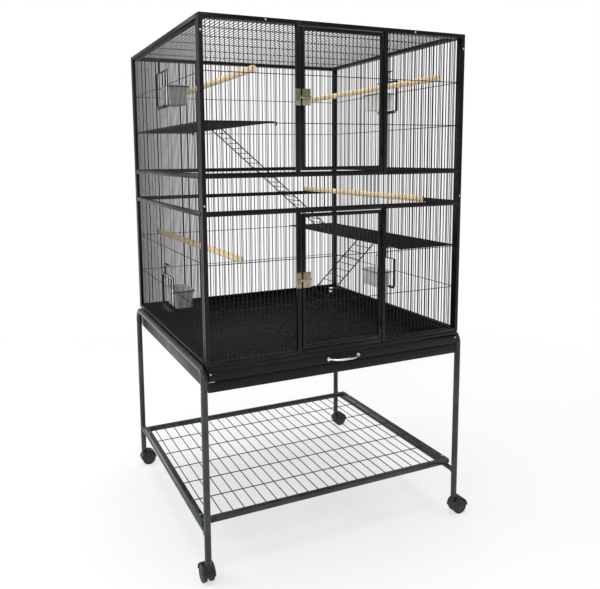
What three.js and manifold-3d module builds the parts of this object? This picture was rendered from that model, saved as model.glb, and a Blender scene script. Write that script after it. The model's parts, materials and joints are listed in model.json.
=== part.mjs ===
// A wire flight cage for birds on a rolling stand, in millimetres, +Z up.
// The model is laid out from the cage's front left bottom corner: X runs right, Y runs back and
// Z runs up from the floor. The finished group is then moved to stand centred on the origin.

import * as THREE from 'three';
import { mergeVertices } from 'three/addons/utils/BufferGeometryUtils.js';
import Module from 'manifold-3d';

// Overall sizes
const cageWidth = 832;
const cageDepth = 794;
const cageTop = 1526;
const cageBottom = 617;
const restGap = 0.3;
const fineGrid = 1 / 128;
const shortestEdge = 0.02;

// Panel frames and wires
const frameTube = 12;
const wire = 2.4;
const wirePitch = 12.7;
// Dense panels are drawn with every second wire, which keeps the model light
const drawnPitch = { front: wirePitch, side: 2 * wirePitch, back: 2 * wirePitch, top: 2 * wirePitch };
const crossWire = 2.2;
const crossSpacing = 128;
const wireEmbed = 3;
const wireDepth = 6.8;
const topWireDepth = 2.8;
const midRailHeight = 13.7;
const midBandHeight = 112;
const midBandRise = 0.8;
const lowerRailZ = (cageBottom + cageTop) / 2 + midBandRise - midBandHeight / 2;
const upperRailZ = lowerRailZ + midBandHeight - midRailHeight;

// Doors
const doorwayLeft = 282;
const doorwayRight = 547.5;
const doorTube = 10;
const doorSideGap = 3.5;
const doorHingeGap = 2;
const doorEndGap = 2.8;
const doorWireDepth = 4.6;
const hingePinRadius = 1.5;
const hingeClearance = 0.3;
const hingeRadius = 3.1;
const hingeOut = 3.4;
const hingeInset = 52;
const knuckleLength = 14;
const hingePinReach = 3;
const hingeLeaf = 1.2;
const hingeLeafWidth = 8.5;

// Door latches
const latchPlate = 1.2;
const latchHeight = 44;
const latchBaseWidth = 24;
const latchKeeperWidth = 15;
const latchPivotIn = 14;
const latchPinRadius = 2;
const latchPinHead = 4;
const latchHubRadius = 7;
const leverReach = 31;
const leverHeight = 8;
const leverThickness = 2.6;
const leverTab = 13;
const latchClearance = 0.4;

// Feeder doors and cups
const feederCentre = cageDepth / 2;
const feederWidth = 112;
const feederHeight = 100;
const lowerFeederRise = 81;
const upperFeederDrop = 200;
const feederZ = [cageBottom + lowerFeederRise, cageTop - upperFeederDrop];
const feederBorder = 4;
const feederDoorDepth = 1.2;
const feederDoorThickness = 4;
const cupWidth = 102;
const cupDepth = 62;
const cupHeight = 58;
const cupWall = 2.2;
const cupRim = 2.8;
const hoopWire = 2.6;
const cupFromPanel = 2.4;
const feederLatchRise = 38;
const feederLatchWidth = 18;
const feederRodReach = 12;
const strapThickness = 1.4;
const strapTab = 6;
const feederHingeWidth = 70;
const feederHingeDrop = 4.2;

// Perches, platforms and ladders
const perchRadius = 9.5;
const platformWidth = 197;
const platformThickness = 4;
const platformMesh = 48;
const meshWire = 1.6;
const platformTab = 8;
const ladderWidth = 100;
const ladderWire = 4;
const rungSpacing = 34;
const rungWire = 2.2;
const ladderHook = 10;
const upperLadderY = 504;
const lowerLadderY = 202;
const upperLadderFoot = 640;
const lowerLadderFoot = 320;

// Base housing, floor grate and tray
const housingBottom = 547;
const sheet = 1.5;
const housingInset = 4.8;
const ledge = 20;
const trayLedgeZ = 575.8;
const grateLedgeZ = 605.5;
const grateBar = 4;
const grateEdge = 8;
const grateCross = 4;
const grateLipOut = 0.8;
const gratePitch = 25.4;
const trayHeight = 23;
const trayFrontHeight = 26;
const trayOut = 0.5;
const frontRailIn = 0.8;
const slideGap = 0.5;
const handleWidth = 98;
const handleReach = 22;
const handleRadius = 3;
const handleFlat = 54;
const handleBend = 40;
const handleFoot = 2.5;
const handleFootRadius = 6;

// Stand
const legRadius = 9.5;
const legGap = 1.3;
const legOut = legRadius + legGap - housingInset;
const legIn = 6.3;
const standTopZ = cageBottom - Math.sqrt((legRadius + restGap) ** 2 - legOut ** 2);
const standBend = 34;
const legJointZ = 555;
const legBottomZ = 58;
const stretcherZ = 147;
const stretcherRadius = 8;

// Lower shelf
const shelfTube = 16;
const shelfFront = 38;
const shelfBack = 64;
const shelfOut = 13;
const shelfWire = 2.6;
const shelfWireDrop = 1;
const shelfSpan = 33;
const shelfCrossSpan = 110;

// Casters
const wheelRadius = 25;
const wheelSides = 16;
const wheelWidth = 13;
const wheelInner = 4.4;
const axleRadius = 3;
const axleClearance = 0.3;
const hoodThickness = 2.4;
const hoodGap = 1.2;
const hoodWeb = 3.9;
const casterTrail = 16;
const stemRadius = 7;

const wasm = await Module();
wasm.setup();

const black = { color: 0x17181a, roughness: 0.42, metalness: 0.35 };
const hammerGrey = { color: 0x33393d, roughness: 0.38, metalness: 0.5 };
const zinc = { color: 0xb9ad88, roughness: 0.35, metalness: 0.9 };
const chrome = { color: 0xd9dbdc, roughness: 0.15, metalness: 1 };
const pine = { color: 0xd9bd8a, roughness: 0.7, metalness: 0 };
const clearPlastic = { color: 0xe8e8e4, roughness: 0.25, metalness: 0 };
const darkPlastic = { color: 0x222427, roughness: 0.5, metalness: 0 };

const cage = new THREE.Group();

/** Adds one named piece of the object to the cage. */
function piece(name, geometry, look) {
  const mesh = new THREE.Mesh(geometry, new THREE.MeshStandardMaterial(look));
  mesh.name = name;
  cage.add(mesh);
  return mesh;
}

/** Moves a length onto a fine grid, so that faces meant to lie in one plane do. */
function onGrid(length) {
  return Math.round(length / fineGrid) * fineGrid;
}

/** Turns a closed three.js geometry into a solid that can be joined and cut. */
function solid(geometry) {
  const bare = geometry.clone();
  bare.deleteAttribute('normal');
  bare.deleteAttribute('uv');
  const merged = mergeVertices(bare, 1e-4);
  const vertProperties = new Float32Array(merged.attributes.position.array).map(onGrid);
  const triVerts = new Uint32Array(merged.index.array);
  return new wasm.Manifold(new wasm.Mesh({ numProp: 3, vertProperties, triVerts }));
}

/** Turns a solid back into a three.js geometry. */
function geometryOf(shape) {
  const mesh = shape.simplify(shortestEdge).getMesh();
  const geometry = new THREE.BufferGeometry();
  const positions = new Float32Array(mesh.vertProperties);
  geometry.setAttribute('position', new THREE.BufferAttribute(positions, 3));
  geometry.setIndex(new THREE.BufferAttribute(new Uint32Array(mesh.triVerts), 1));
  geometry.computeVertexNormals();
  return geometry;
}

/** Joins geometries into one solid. */
function join(geometries) {
  return geometries.map(solid).reduce((whole, next) => whole.add(next));
}

/** Joins geometries into one geometry. */
function joined(geometries) {
  return geometryOf(join(geometries));
}

/** A box between two opposite corners given in any order. */
function block(a, b) {
  const size = a.map((value, i) => Math.abs(b[i] - value));
  const centre = a.map((value, i) => (value + b[i]) / 2);
  return new THREE.BoxGeometry(...size).translate(...centre);
}

/** A round bar between two points. */
function rod(from, to, radius, sides = 10) {
  const a = new THREE.Vector3(...from);
  const b = new THREE.Vector3(...to);
  const along = b.clone().sub(a);
  const upright = new THREE.Vector3(0, 1, 0);
  const turn = new THREE.Quaternion().setFromUnitVectors(upright, along.clone().normalize());
  const bar = new THREE.CylinderGeometry(radius, radius, along.length(), sides);
  return bar.applyQuaternion(turn).translate(...a.add(b).multiplyScalar(0.5).toArray());
}

/** A ring with a bore, standing on the XY plane and rising along Z. */
function ring(outer, inner, height, sides = 10) {
  const profile = [[inner, 0], [outer, 0], [outer, height], [inner, height], [inner, 0]];
  const points = profile.map(([x, y]) => new THREE.Vector2(x, y));
  return new THREE.LatheGeometry(points, sides).rotateX(Math.PI / 2);
}

/** The centre line of a bent bar: straight runs with a round bend of one radius at each corner. */
class BentPath extends THREE.Curve {
  constructor(corners, bend, bendSteps = 5) {
    super();
    this.stations = [];
    const points = corners.map((corner) => new THREE.Vector3(...corner));
    points.forEach((point, i) => this.addCorner(points[i - 1], point, points[i + 1], bend, bendSteps));
  }

  addCorner(before, corner, after, bend, bendSteps) {
    if (!before || !after) {
      const tangent = (after ?? corner).clone().sub(before ?? corner).normalize();
      this.stations.push({ point: corner, tangent });
      return;
    }
    const incoming = corner.clone().sub(before).normalize();
    const outgoing = after.clone().sub(corner).normalize();
    const turn = incoming.angleTo(outgoing);
    const cut = bend * Math.tan(turn / 2);
    const start = corner.clone().addScaledVector(incoming, -cut);
    const inward = outgoing.clone().addScaledVector(incoming, -outgoing.dot(incoming)).normalize();
    const centre = start.clone().addScaledVector(inward, bend);
    for (let i = 0; i <= bendSteps; i += 1) {
      const angle = (turn * i) / bendSteps;
      const point = centre.clone().addScaledVector(inward, -bend * Math.cos(angle));
      point.addScaledVector(incoming, bend * Math.sin(angle));
      const tangent = incoming.clone().multiplyScalar(Math.cos(angle));
      tangent.addScaledVector(inward, Math.sin(angle));
      this.stations.push({ point, tangent });
    }
  }

  station(t) {
    return this.stations[Math.round(t * (this.stations.length - 1))];
  }

  getPoint(t) {
    return this.station(t).point.clone();
  }

  getPointAt(t) {
    return this.getPoint(t);
  }

  getTangentAt(t) {
    return this.station(t).tangent.clone();
  }
}

/** A round bar bent along a list of corners. */
function bentRod(corners, radius, bend, sides = 8, bendSteps = 5) {
  const path = new BentPath(corners, bend, bendSteps);
  const section = new THREE.Shape();
  for (let i = 0; i < sides; i += 1) {
    const angle = (2 * Math.PI * i) / sides;
    const corner = [radius * Math.cos(angle), radius * Math.sin(angle)];
    if (i === 0) section.moveTo(...corner);
    else section.lineTo(...corner);
  }
  const steps = path.stations.length - 1;
  return new THREE.ExtrudeGeometry(section, { steps, extrudePath: path, bevelEnabled: false });
}

// Each face of the cage has its own way across (u), up or back (v) and inwards from the outside (w).
const faces = {
  front: ([u, v, w]) => [u, w, v],
  back: ([u, v, w]) => [u, cageDepth - w, v],
  left: ([u, v, w]) => [w, u, v],
  right: ([u, v, w]) => [cageWidth - w, u, v],
  top: ([u, v, w]) => [u, v, cageTop - w],
};

/** A block given in a face's own directions. */
function blockOn(face, a, b) {
  return block(faces[face](a), faces[face](b));
}

/** Centres of evenly spaced wires between two limits, with equal margins at both ends. */
function wireCentres(from, to, pitch) {
  const count = Math.floor((to - from) / pitch - 0.25);
  const first = (from + to) / 2 - ((count - 1) * pitch) / 2;
  return Array.from({ length: count }, (_, i) => first + i * pitch);
}

/** The parts of a wire from a to b that lie outside a hole, reaching into the hole's border. */
function aroundHole(a, b, hole) {
  if (!hole) return [[a, b]];
  const reach = feederBorder / 2;
  return [[a, hole[0] - reach], [hole[1] + reach, b]];
}

/** Upright wires of a panel, cut where they would cross a hole. */
function uprights(face, area, depth, pitch, holes = []) {
  const [u0, u1, v0, v1] = area;
  return wireCentres(u0, u1, pitch).flatMap((u) => {
    const crossed = holes.filter((hole) => u + wire / 2 > hole.u[0] && u - wire / 2 < hole.u[1]);
    let spans = [[v0 - wireEmbed, v1 + wireEmbed]];
    for (const hole of crossed) {
      spans = spans.flatMap(([a, b]) => {
        return hole.v[0] > a && hole.v[1] < b ? aroundHole(a, b, hole.v) : [[a, b]];
      });
    }
    return spans.map(([a, b]) => blockOn(face, [u - wire / 2, a, depth], [u + wire / 2, b, depth + wire]));
  });
}

/** Cross wires of a panel, behind its upright wires. */
function crossWires(face, area, levels, depth, holes = []) {
  const [u0, u1] = area;
  return levels.flatMap((v) => {
    const hole = holes.find((one) => v + crossWire > one.v[0] && v - crossWire < one.v[1]);
    const spans = aroundHole(u0 - wireEmbed, u1 + wireEmbed, hole?.u);
    return spans.map(([a, b]) => {
      return blockOn(face, [a, v - crossWire / 2, depth], [b, v + crossWire / 2, depth + crossWire]);
    });
  });
}

/** The square tube frame around a panel's area. */
function tubeFrame(face, [u0, u1, v0, v1], size, from = 0) {
  const to = from + size;
  return [
    blockOn(face, [u0, v0, from], [u0 + size, v1, to]),
    blockOn(face, [u1 - size, v0, from], [u1, v1, to]),
    blockOn(face, [u0, v0, from], [u1, v0 + size, to]),
    blockOn(face, [u0, v1 - size, from], [u1, v1, to]),
  ];
}

const crossWireDepth = wireDepth + wire + restGap;
const crossLevels = [1, 2].flatMap((step) => {
  return [cageBottom + frameTube + 3 + step * crossSpacing, cageTop - frameTube - step * crossSpacing];
});

/** The two heavier rails that run round the cage at half height, outside the upright wires. */
function midRails(face, u0, u1) {
  return [lowerRailZ, upperRailZ].map((z) => {
    return blockOn(face, [u0, z, 0], [u1, z + midRailHeight, wireDepth - restGap]);
  });
}

/** A frame around a feeder hole, deep enough to tie both layers of wire together. */
function feederFrame(face, hole) {
  const [u0, u1] = hole.u;
  const [v0, v1] = hole.v;
  const depth = [wireDepth, crossWireDepth + crossWire];
  const edge = feederBorder;
  return [
    blockOn(face, [u0 - edge, v0 - edge, depth[0]], [u0, v1 + edge, depth[1]]),
    blockOn(face, [u1, v0 - edge, depth[0]], [u1 + edge, v1 + edge, depth[1]]),
    blockOn(face, [u0 - edge, v0 - edge, depth[0]], [u1 + edge, v0, depth[1]]),
    blockOn(face, [u0 - edge, v1, depth[0]], [u1 + edge, v1 + edge, depth[1]]),
  ];
}

const feederHoles = feederZ.map((z) => ({
  u: [feederCentre - feederWidth / 2, feederCentre + feederWidth / 2],
  v: [z, z + feederHeight],
}));
const feederPivotDepth = feederDoorDepth + feederDoorThickness / 2;
const feederPivots = feederHoles.flatMap((hole) => [
  { z: hole.v[1] + feederLatchRise, width: feederLatchWidth },
  { z: hole.v[0] - feederBorder / 2 - feederHingeDrop, width: feederHingeWidth },
]);

/** A fixed rod for a latch or a feeder door to turn on, with stubs that reach a tie on the wires. */
function pivotRod(face, { z, width }) {
  const reach = width / 2 + feederRodReach;
  const [u0, u1] = [feederCentre - reach, feederCentre + reach];
  const bar = rod(
    faces[face]([u0, z, feederPivotDepth]),
    faces[face]([u1, z, feederPivotDepth]),
    hingePinRadius,
    8,
  );
  const stubs = [u0, u1].map((u) => {
    return blockOn(face, [u - 2, z - 2, feederPivotDepth - 2], [u + 2, z + 2, wireDepth + wire]);
  });
  const tie = blockOn(face, [u0 - wirePitch, z - 2, wireDepth], [u1 + wirePitch, z + 2, wireDepth + wire]);
  return [bar, ...stubs, tie];
}

/** A barrel that turns on a fixed rod. */
function pivotBarrel(face, { z, width }) {
  const barrel = ring(hingeRadius, hingePinRadius + hingeClearance, width, 8);
  barrel.translate(0, 0, -width / 2).rotateX(Math.PI / 2);
  return barrel.translate(...faces[face]([feederCentre, z, feederPivotDepth]));
}

/** A side panel, which stands between the front and back panels and has two feeder holes. */
function sidePanel(face) {
  const area = [frameTube + restGap, cageDepth - frameTube - restGap, cageBottom, cageTop];
  const inside = [area[0] + frameTube, area[1] - frameTube, area[2] + frameTube, area[3] - frameTube];
  return joined([
    ...tubeFrame(face, area, frameTube),
    ...uprights(face, inside, wireDepth, drawnPitch.side, feederHoles),
    ...crossWires(face, inside, crossLevels, crossWireDepth, feederHoles),
    ...midRails(face, area[0] + 2, area[1] - 2),
    ...feederHoles.flatMap((hole) => feederFrame(face, hole)),
    ...feederPivots.flatMap((pivot) => pivotRod(face, pivot)),
  ]);
}

/** The post beside the doorways, which stops at the mid rails; between them a wire takes its place. */
function doorwayPost(face, u) {
  const [low, high] = [lowerRailZ + midRailHeight, upperRailZ];
  const middle = u + frameTube / 2;
  return [
    blockOn(face, [u, cageBottom, 0], [u + frameTube, low, frameTube]),
    blockOn(face, [u, high, 0], [u + frameTube, cageTop, frameTube]),
    blockOn(
      face,
      [middle - wire / 2, low - wireEmbed, wireDepth],
      [middle + wire / 2, high + wireEmbed, wireDepth + wire],
    ),
  ];
}

/** One full-height bay of the front or back panel, with a whole post at each side or a split one at a doorway. */
function bay(face, u0, u1, doorwaySide) {
  const area = [u0, u1, cageBottom, cageTop];
  const inside = [u0 + frameTube, u1 - frameTube, cageBottom + frameTube, cageTop - frameTube];
  const frame = tubeFrame(face, area, frameTube);
  if (doorwaySide === 'low') frame.splice(0, 1, ...doorwayPost(face, u0));
  if (doorwaySide === 'high') frame.splice(1, 1, ...doorwayPost(face, u1 - frameTube));
  return [
    ...frame,
    ...uprights(face, inside, wireDepth, drawnPitch[face]),
    ...crossWires(face, inside, crossLevels, crossWireDepth),
    ...midRails(face, u0 + 2, u1 - 2),
  ];
}

const doorLeft = doorwayLeft + doorSideGap;
const doorRight = doorwayRight - doorHingeGap;
const doors = {
  upper: [upperRailZ + midRailHeight + doorEndGap, cageTop - frameTube - doorEndGap],
  lower: [cageBottom + frameTube + doorEndGap, lowerRailZ - doorEndGap],
};
const hingeX = doorwayRight - doorHingeGap / 2;

/** Heights of a door's two hinges, measured at the middle of each. */
function hingeHeights([z0, z1]) {
  return [z0 + hingeInset, z1 - hingeInset];
}

/** A hinge knuckle with the leaf that fixes it to the tube beside it. */
function knuckle(z, side) {
  const barrel = ring(hingeRadius, hingePinRadius + hingeClearance, knuckleLength);
  barrel.translate(hingeX, -hingeOut, z);
  const x0 = hingeX + side * (doorHingeGap / 2 + 0.2);
  const leaf = block([x0, -hingeLeaf, z], [x0 + side * hingeLeafWidth, 0.5, z + knuckleLength]);
  return [barrel, leaf];
}

function fixedKnuckles() {
  const step = knuckleLength + restGap;
  return Object.values(doors).flatMap((span) => {
    return hingeHeights(span).flatMap((z) => {
      return knuckle(z - knuckleLength / 2 - step, 1);
    });
  });
}

/** A door: a light frame with its own wires and the middle knuckle of each hinge. */
function door(span) {
  const area = [doorLeft, doorRight, span[0], span[1]];
  const inside = [doorLeft + doorTube, doorRight - doorTube, span[0] + doorTube, span[1] - doorTube];
  const levels = crossLevels.filter((z) => z > span[0] && z < span[1]);
  return joined([
    ...tubeFrame('front', area, doorTube),
    ...uprights('front', inside, doorWireDepth, wirePitch),
    ...crossWires('front', inside, levels, doorWireDepth + wire + restGap),
    ...hingeHeights(span).flatMap((z) => knuckle(z - knuckleLength / 2, -1)),
  ]);
}

function hingePin([z0, z1]) {
  const [low, high] = hingeHeights([z0, z1]);
  const ends = [low - 1.5 * knuckleLength - hingePinReach, high + knuckleLength / 2 + hingePinReach];
  return rod([hingeX, -hingeOut, ends[0]], [hingeX, -hingeOut, ends[1]], hingePinRadius, 10);
}

/** The band of wires between the two mid rails, between the upper and the lower door. */
function middleBand() {
  const area = [doorwayLeft + restGap, doorwayRight - restGap, lowerRailZ, upperRailZ + midRailHeight];
  const inside = [area[0], area[1], area[2] + midRailHeight, area[3] - midRailHeight];
  const rails = [area[2], area[3] - midRailHeight].map((z) => {
    return blockOn('front', [area[0], z, 0], [area[1], z + midRailHeight, frameTube]);
  });
  return joined([...rails, ...uprights('front', inside, wireDepth, wirePitch)]);
}

/** The latch plate on a door, with its pivot pin and the pin's head. */
function latchBase(z) {
  const pivot = doorLeft + latchPivotIn;
  const plate = block(
    [doorLeft + 1, -restGap - latchPlate, z - latchHeight / 2],
    [doorLeft + 1 + latchBaseWidth, -restGap, z + latchHeight / 2],
  );
  const leverFront = -restGap - latchPlate - 2 * latchClearance - leverThickness;
  const pinEnds = [-restGap - latchPlate / 2, leverFront - latchPlate];
  const pin = rod([pivot, pinEnds[0], z], [pivot, pinEnds[1], z], latchPinRadius, 12);
  const head = rod([pivot, leverFront, z], [pivot, leverFront - latchPlate, z], latchPinHead, 12);
  return joined([plate, pin, head]);
}

/** The lever that swings up from the keeper: a hub round the pin, an arm and a thumb tab. */
function latchLever(z) {
  const pivot = doorLeft + latchPivotIn;
  const back = -restGap - latchPlate - latchClearance;
  const hub = ring(latchHubRadius, latchPinRadius + latchClearance, leverThickness, 20);
  hub.rotateX(Math.PI / 2).translate(pivot, back, z);
  const inner = latchPinRadius + latchClearance + 1;
  const bar = (x0, x1) => {
    return block([x0, back - leverThickness, z - leverHeight / 2], [x1, back, z + leverHeight / 2]);
  };
  return joined([hub, bar(pivot - leverReach, pivot - inner), bar(pivot + inner, pivot + leverTab)]);
}

/** The keeper on the door post: a plate with an open cradle that the lever drops into. */
function latchKeeper(z) {
  const right = doorwayLeft - 0.5;
  const left = right - latchKeeperWidth;
  const front = -restGap - latchPlate;
  const lipFront = front - 2 * latchClearance - leverThickness - latchPlate;
  const seat = z - leverHeight / 2 - latchClearance;
  return joined([
    block([left, -restGap, z - latchHeight / 2], [right, front, z + latchHeight / 2]),
    block([left + 3, front + 0.5, seat - latchPlate], [right - 3, lipFront, seat]),
    block([left + 3, lipFront + latchPlate, seat - latchPlate], [right - 3, lipFront, z + leverHeight / 4]),
  ]);
}

/** A feeder door: a small wire door with a hoop on its inside that carries the cup. */
function feederDoor(face, hole) {
  const over = feederBorder / 2;
  const area = [hole.u[0] - over, hole.u[1] + over, hole.v[0] - over, hole.v[1] + over];
  const edge = feederBorder;
  const inside = [area[0] + edge, area[1] - edge, area[2] + edge, area[3] - edge];
  const outer = feederDoorDepth;
  const pivot = feederPivots[2 * feederHoles.indexOf(hole) + 1];
  const hoopZ = hole.v[0] + 2 + cupHeight - 3 - hoopWire - restGap;
  const hoop = [area[0] + edge - 1, area[1] - edge + 1];
  const innerEnd = crossWireDepth + crossWire + cupFromPanel + cupDepth + restGap + hoopWire;
  const bar = (a, b) => blockOn(face, [a[0], hoopZ, a[1]], [b[0], hoopZ + hoopWire, b[1]]);
  return joined([
    ...tubeFrame(face, area, feederDoorThickness, outer),
    ...uprights(face, inside, outer + 0.8, wirePitch),
    bar([hoop[0], outer + 1], [hoop[0] + hoopWire, innerEnd]),
    bar([hoop[1] - hoopWire, outer + 1], [hoop[1], innerEnd]),
    bar([hoop[0], innerEnd - hoopWire], [hoop[1], innerEnd]),
    pivotBarrel(face, pivot),
    blockOn(
      face,
      [feederCentre - feederHingeWidth / 2, pivot.z + hingePinRadius + 0.8, outer + 1],
      [feederCentre + feederHingeWidth / 2, area[2] + 1, outer + feederDoorThickness - 1],
    ),
  ]);
}

/** A feeder cup with a rim that rests on its door's hoop. */
function cup(face, hole) {
  const z0 = hole.v[0] + 2;
  const z1 = z0 + cupHeight;
  const w0 = crossWireDepth + crossWire + cupFromPanel;
  const u0 = feederCentre - cupWidth / 2;
  const body = solid(blockOn(face, [u0, z0, w0], [u0 + cupWidth, z1, w0 + cupDepth]));
  const rim = solid(blockOn(
    face,
    [u0 - cupRim, z1 - 3, w0 - 1],
    [u0 + cupWidth + cupRim, z1, w0 + cupDepth + cupRim],
  ));
  const hollow = solid(blockOn(
    face,
    [u0 + cupWall, z0 + cupWall, w0 + cupWall],
    [u0 + cupWidth - cupWall, z1 + 5, w0 + cupDepth - cupWall],
  ));
  return geometryOf(body.add(rim).subtract(hollow));
}

/** The latch that hangs in front of a feeder door: a ring round its rod, a strap and a finger tab. */
function feederLatch(face, hole) {
  const pivot = feederPivots[2 * feederHoles.indexOf(hole)];
  const half = feederLatchWidth / 2;
  const outer = feederDoorDepth - restGap;
  const foot = hole.v[1] - feederBorder;
  return joined([
    pivotBarrel(face, pivot),
    blockOn(
      face,
      [feederCentre - half, foot, outer - strapThickness],
      [feederCentre + half, pivot.z - hingePinRadius, outer],
    ),
    blockOn(face, [feederCentre - half, foot, outer - strapTab], [feederCentre + half, foot + 1.6, outer]),
    blockOn(
      face,
      [feederCentre - half, pivot.z - hingeRadius + 0.1, outer - strapThickness],
      [feederCentre + half, pivot.z - hingePinRadius - 0.7, feederPivotDepth],
    ),
  ]);
}

/** A round wooden perch that spans the cage from front to back. */
function perch(front, back, z) {
  const end = crossWireDepth;
  return rod([front, end, z], [back, cageDepth - end, z], perchRadius, 16);
}

/** A mesh platform the full depth of the cage, with tabs that rest on the cross wires. */
function platform(x0, z) {
  const x1 = x0 + platformWidth;
  const y0 = frameTube + 1.5;
  const y1 = cageDepth - frameTube - 1.5;
  const t = platformThickness;
  const half = meshWire / 2;
  const upperWire = z + 0.2 + meshWire + restGap;
  const edges = [
    block([x0, y0, z], [x1, y0 + t, z + t]),
    block([x0, y1 - t, z], [x1, y1, z + t]),
    block([x0, y0, z], [x0 + t, y1, z + t]),
    block([x1 - t, y0, z], [x1, y1, z + t]),
  ];
  const along = wireCentres(x0 + t, x1 - t, platformMesh).map((x) => {
    return block([x - half, y0 + 1, z + 0.2], [x + half, y1 - 1, z + 0.2 + meshWire]);
  });
  const across = wireCentres(y0 + t, y1 - t, platformMesh).map((y) => {
    return block([x0 + 1, y - half, upperWire], [x1 - 1, y + half, upperWire + meshWire]);
  });
  const tabs = [x0 + platformTab, x1 - 2 * platformTab].flatMap((x) => [
    block([x, crossWireDepth + restGap, z + 0.2], [x + platformTab, y0 + 1, z + t - 0.2]),
    block([x, cageDepth - crossWireDepth - restGap, z + 0.2], [x + platformTab, y1 - 1, z + t - 0.2]),
  ]);
  return joined([...edges, ...along, ...across, ...tabs]);
}

/** A wire ladder hooked over a platform's edge, with its foot at floorZ. */
function ladder(y, edge, platformZ, foot, floorZ) {
  const r = ladderWire / 2;
  const side = Math.sign(foot - edge);
  const hookZ = platformZ + platformThickness + restGap + r;
  const top = [edge + side * (r + 2), hookZ];
  const low = [foot, floorZ + restGap + r];
  const rails = [-1, 1].map((way) => {
    const at = y + (way * ladderWidth) / 2;
    const corners = [
      [edge - side * ladderHook, at, top[1]],
      [top[0], at, top[1]],
      [low[0], at, low[1]],
    ];
    return bentRod(corners, r, 1.2, 4, 2);
  });
  const length = Math.hypot(low[0] - top[0], low[1] - top[1]);
  const count = Math.floor((length - rungSpacing / 2) / rungSpacing);
  const rungs = Array.from({ length: count }, (_, i) => {
    const share = ((i + 1) * rungSpacing) / length;
    const x = top[0] + (low[0] - top[0]) * share;
    const z = top[1] + (low[1] - top[1]) * share;
    const half = rungWire / 2;
    return block([x - half, y - ladderWidth / 2, z - half], [x + half, y + ladderWidth / 2, z + half]);
  });
  return joined([...rails, ...rungs]);
}

/** One side wall of the base, with ledges for the grate and the tray. */
function housingSide(face) {
  const top = cageBottom - restGap;
  const out = housingInset;
  const y0 = frontRailIn + sheet + restGap;
  const y1 = cageDepth - restGap;
  const shelf = (z) => blockOn(face, [y0, z, out], [y1, z + sheet, out + ledge]);
  return joined([
    blockOn(face, [y0, housingBottom, out], [y1, top, out + sheet]),
    shelf(housingBottom),
    shelf(trayLedgeZ),
    shelf(grateLedgeZ),
  ]);
}

function housingBack() {
  const inset = housingInset + ledge + restGap;
  const y = cageDepth - 0.8;
  return joined([
    block([inset, y - sheet, housingBottom], [cageWidth - inset, y, cageBottom - restGap]),
    block([inset, y - ledge, housingBottom], [cageWidth - inset, y, housingBottom + sheet]),
  ]);
}

function housingFront() {
  const inset = housingInset + ledge + restGap;
  const top = trayLedgeZ - restGap;
  const plateEnds = [housingInset, cageWidth - housingInset];
  return joined([
    block([plateEnds[0], frontRailIn, housingBottom], [plateEnds[1], frontRailIn + sheet, top]),
    block([inset, frontRailIn, housingBottom], [cageWidth - inset, ledge, housingBottom + sheet]),
    block([inset, frontRailIn, top - sheet], [cageWidth - inset, ledge, top]),
  ]);
}

const trayBottom = trayLedgeZ + sheet + slideGap;
const trayInset = housingInset + sheet + 2;

/** The pull-out tray: a shallow pan with a deeper front plate. */
function tray() {
  const back = cageDepth - ledge - 6;
  const pan = solid(block(
    [trayInset, -trayOut, trayBottom],
    [cageWidth - trayInset, back, trayBottom + trayHeight],
  ));
  const hollow = solid(block(
    [trayInset + sheet, -trayOut + sheet, trayBottom + sheet],
    [cageWidth - trayInset - sheet, back - sheet, trayBottom + trayHeight + 5],
  ));
  const front = solid(block(
    [housingInset + 1, -trayOut - sheet, trayBottom],
    [cageWidth - housingInset - 1, 0, trayBottom + trayFrontHeight],
  ));
  return geometryOf(pan.subtract(hollow).add(front));
}

/** A bow handle on the tray's front plate. */
function trayHandle() {
  const x = cageWidth / 2;
  const z = trayBottom + trayFrontHeight / 2;
  const face = -trayOut - sheet - restGap;
  const half = handleWidth / 2;
  const out = face - handleReach;
  const root = face - handleFoot + 0.1;
  const bow = bentRod(
    [[x - half, root, z], [x - handleFlat / 2, out, z], [x + handleFlat / 2, out, z], [x + half, root, z]],
    handleRadius,
    handleBend,
    8,
    6,
  );
  const feet = [-1, 1].map((way) => {
    return rod([x + way * half, face - handleFoot, z], [x + way * half, face, z], handleFootRadius, 12);
  });
  return joined([bow, ...feet]);
}

/** The floor grate: a frame of flat bars, wires from front to back and a lip to pull it by. */
function floorGrate() {
  const z0 = grateLedgeZ + sheet + slideGap;
  const z1 = z0 + grateBar;
  const x0 = trayInset;
  const x1 = cageWidth - trayInset;
  const y1 = cageDepth - grateEdge;
  const edge = grateEdge;
  const bars = [
    block([x0, 0, z0], [x1, edge, z1]),
    block([x0, y1 - edge, z0], [x1, y1, z1]),
    block([x0, 0, z0], [x0 + edge, y1, z1]),
    block([x1 - edge, 0, z0], [x1, y1, z1]),
  ];
  const wireEnds = [edge - wireEmbed, y1 - edge + wireEmbed];
  const wires = wireCentres(x0 + edge, x1 - edge, gratePitch).map((x) => {
    return block([x - wire / 2, wireEnds[0], z1 - wire - 0.2], [x + wire / 2, wireEnds[1], z1 - 0.2]);
  });
  const cross = [0.25, 0.5, 0.75].map((share) => {
    const y = y1 * share;
    const half = grateCross / 2;
    const ends = [x0 + edge - wireEmbed, x1 - edge + wireEmbed];
    return block([ends[0], y - half, z0 + 0.1], [ends[1], y + half, z1 - wire - 0.4]);
  });
  const lip = block([x0, -grateLipOut, z0], [x1, 0.6, cageBottom - 1]);
  return joined([...bars, ...wires, ...cross, lip]);
}

/** A stand side: one tube that runs along the base and turns down into a front and a back leg. */
function standSide(x) {
  const front = legIn;
  const back = cageDepth - legIn;
  const corners = [
    [x, front, legJointZ],
    [x, front, standTopZ],
    [x, back, standTopZ],
    [x, back, legJointZ],
  ];
  return bentRod(corners, legRadius, standBend, 12, 5);
}

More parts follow.
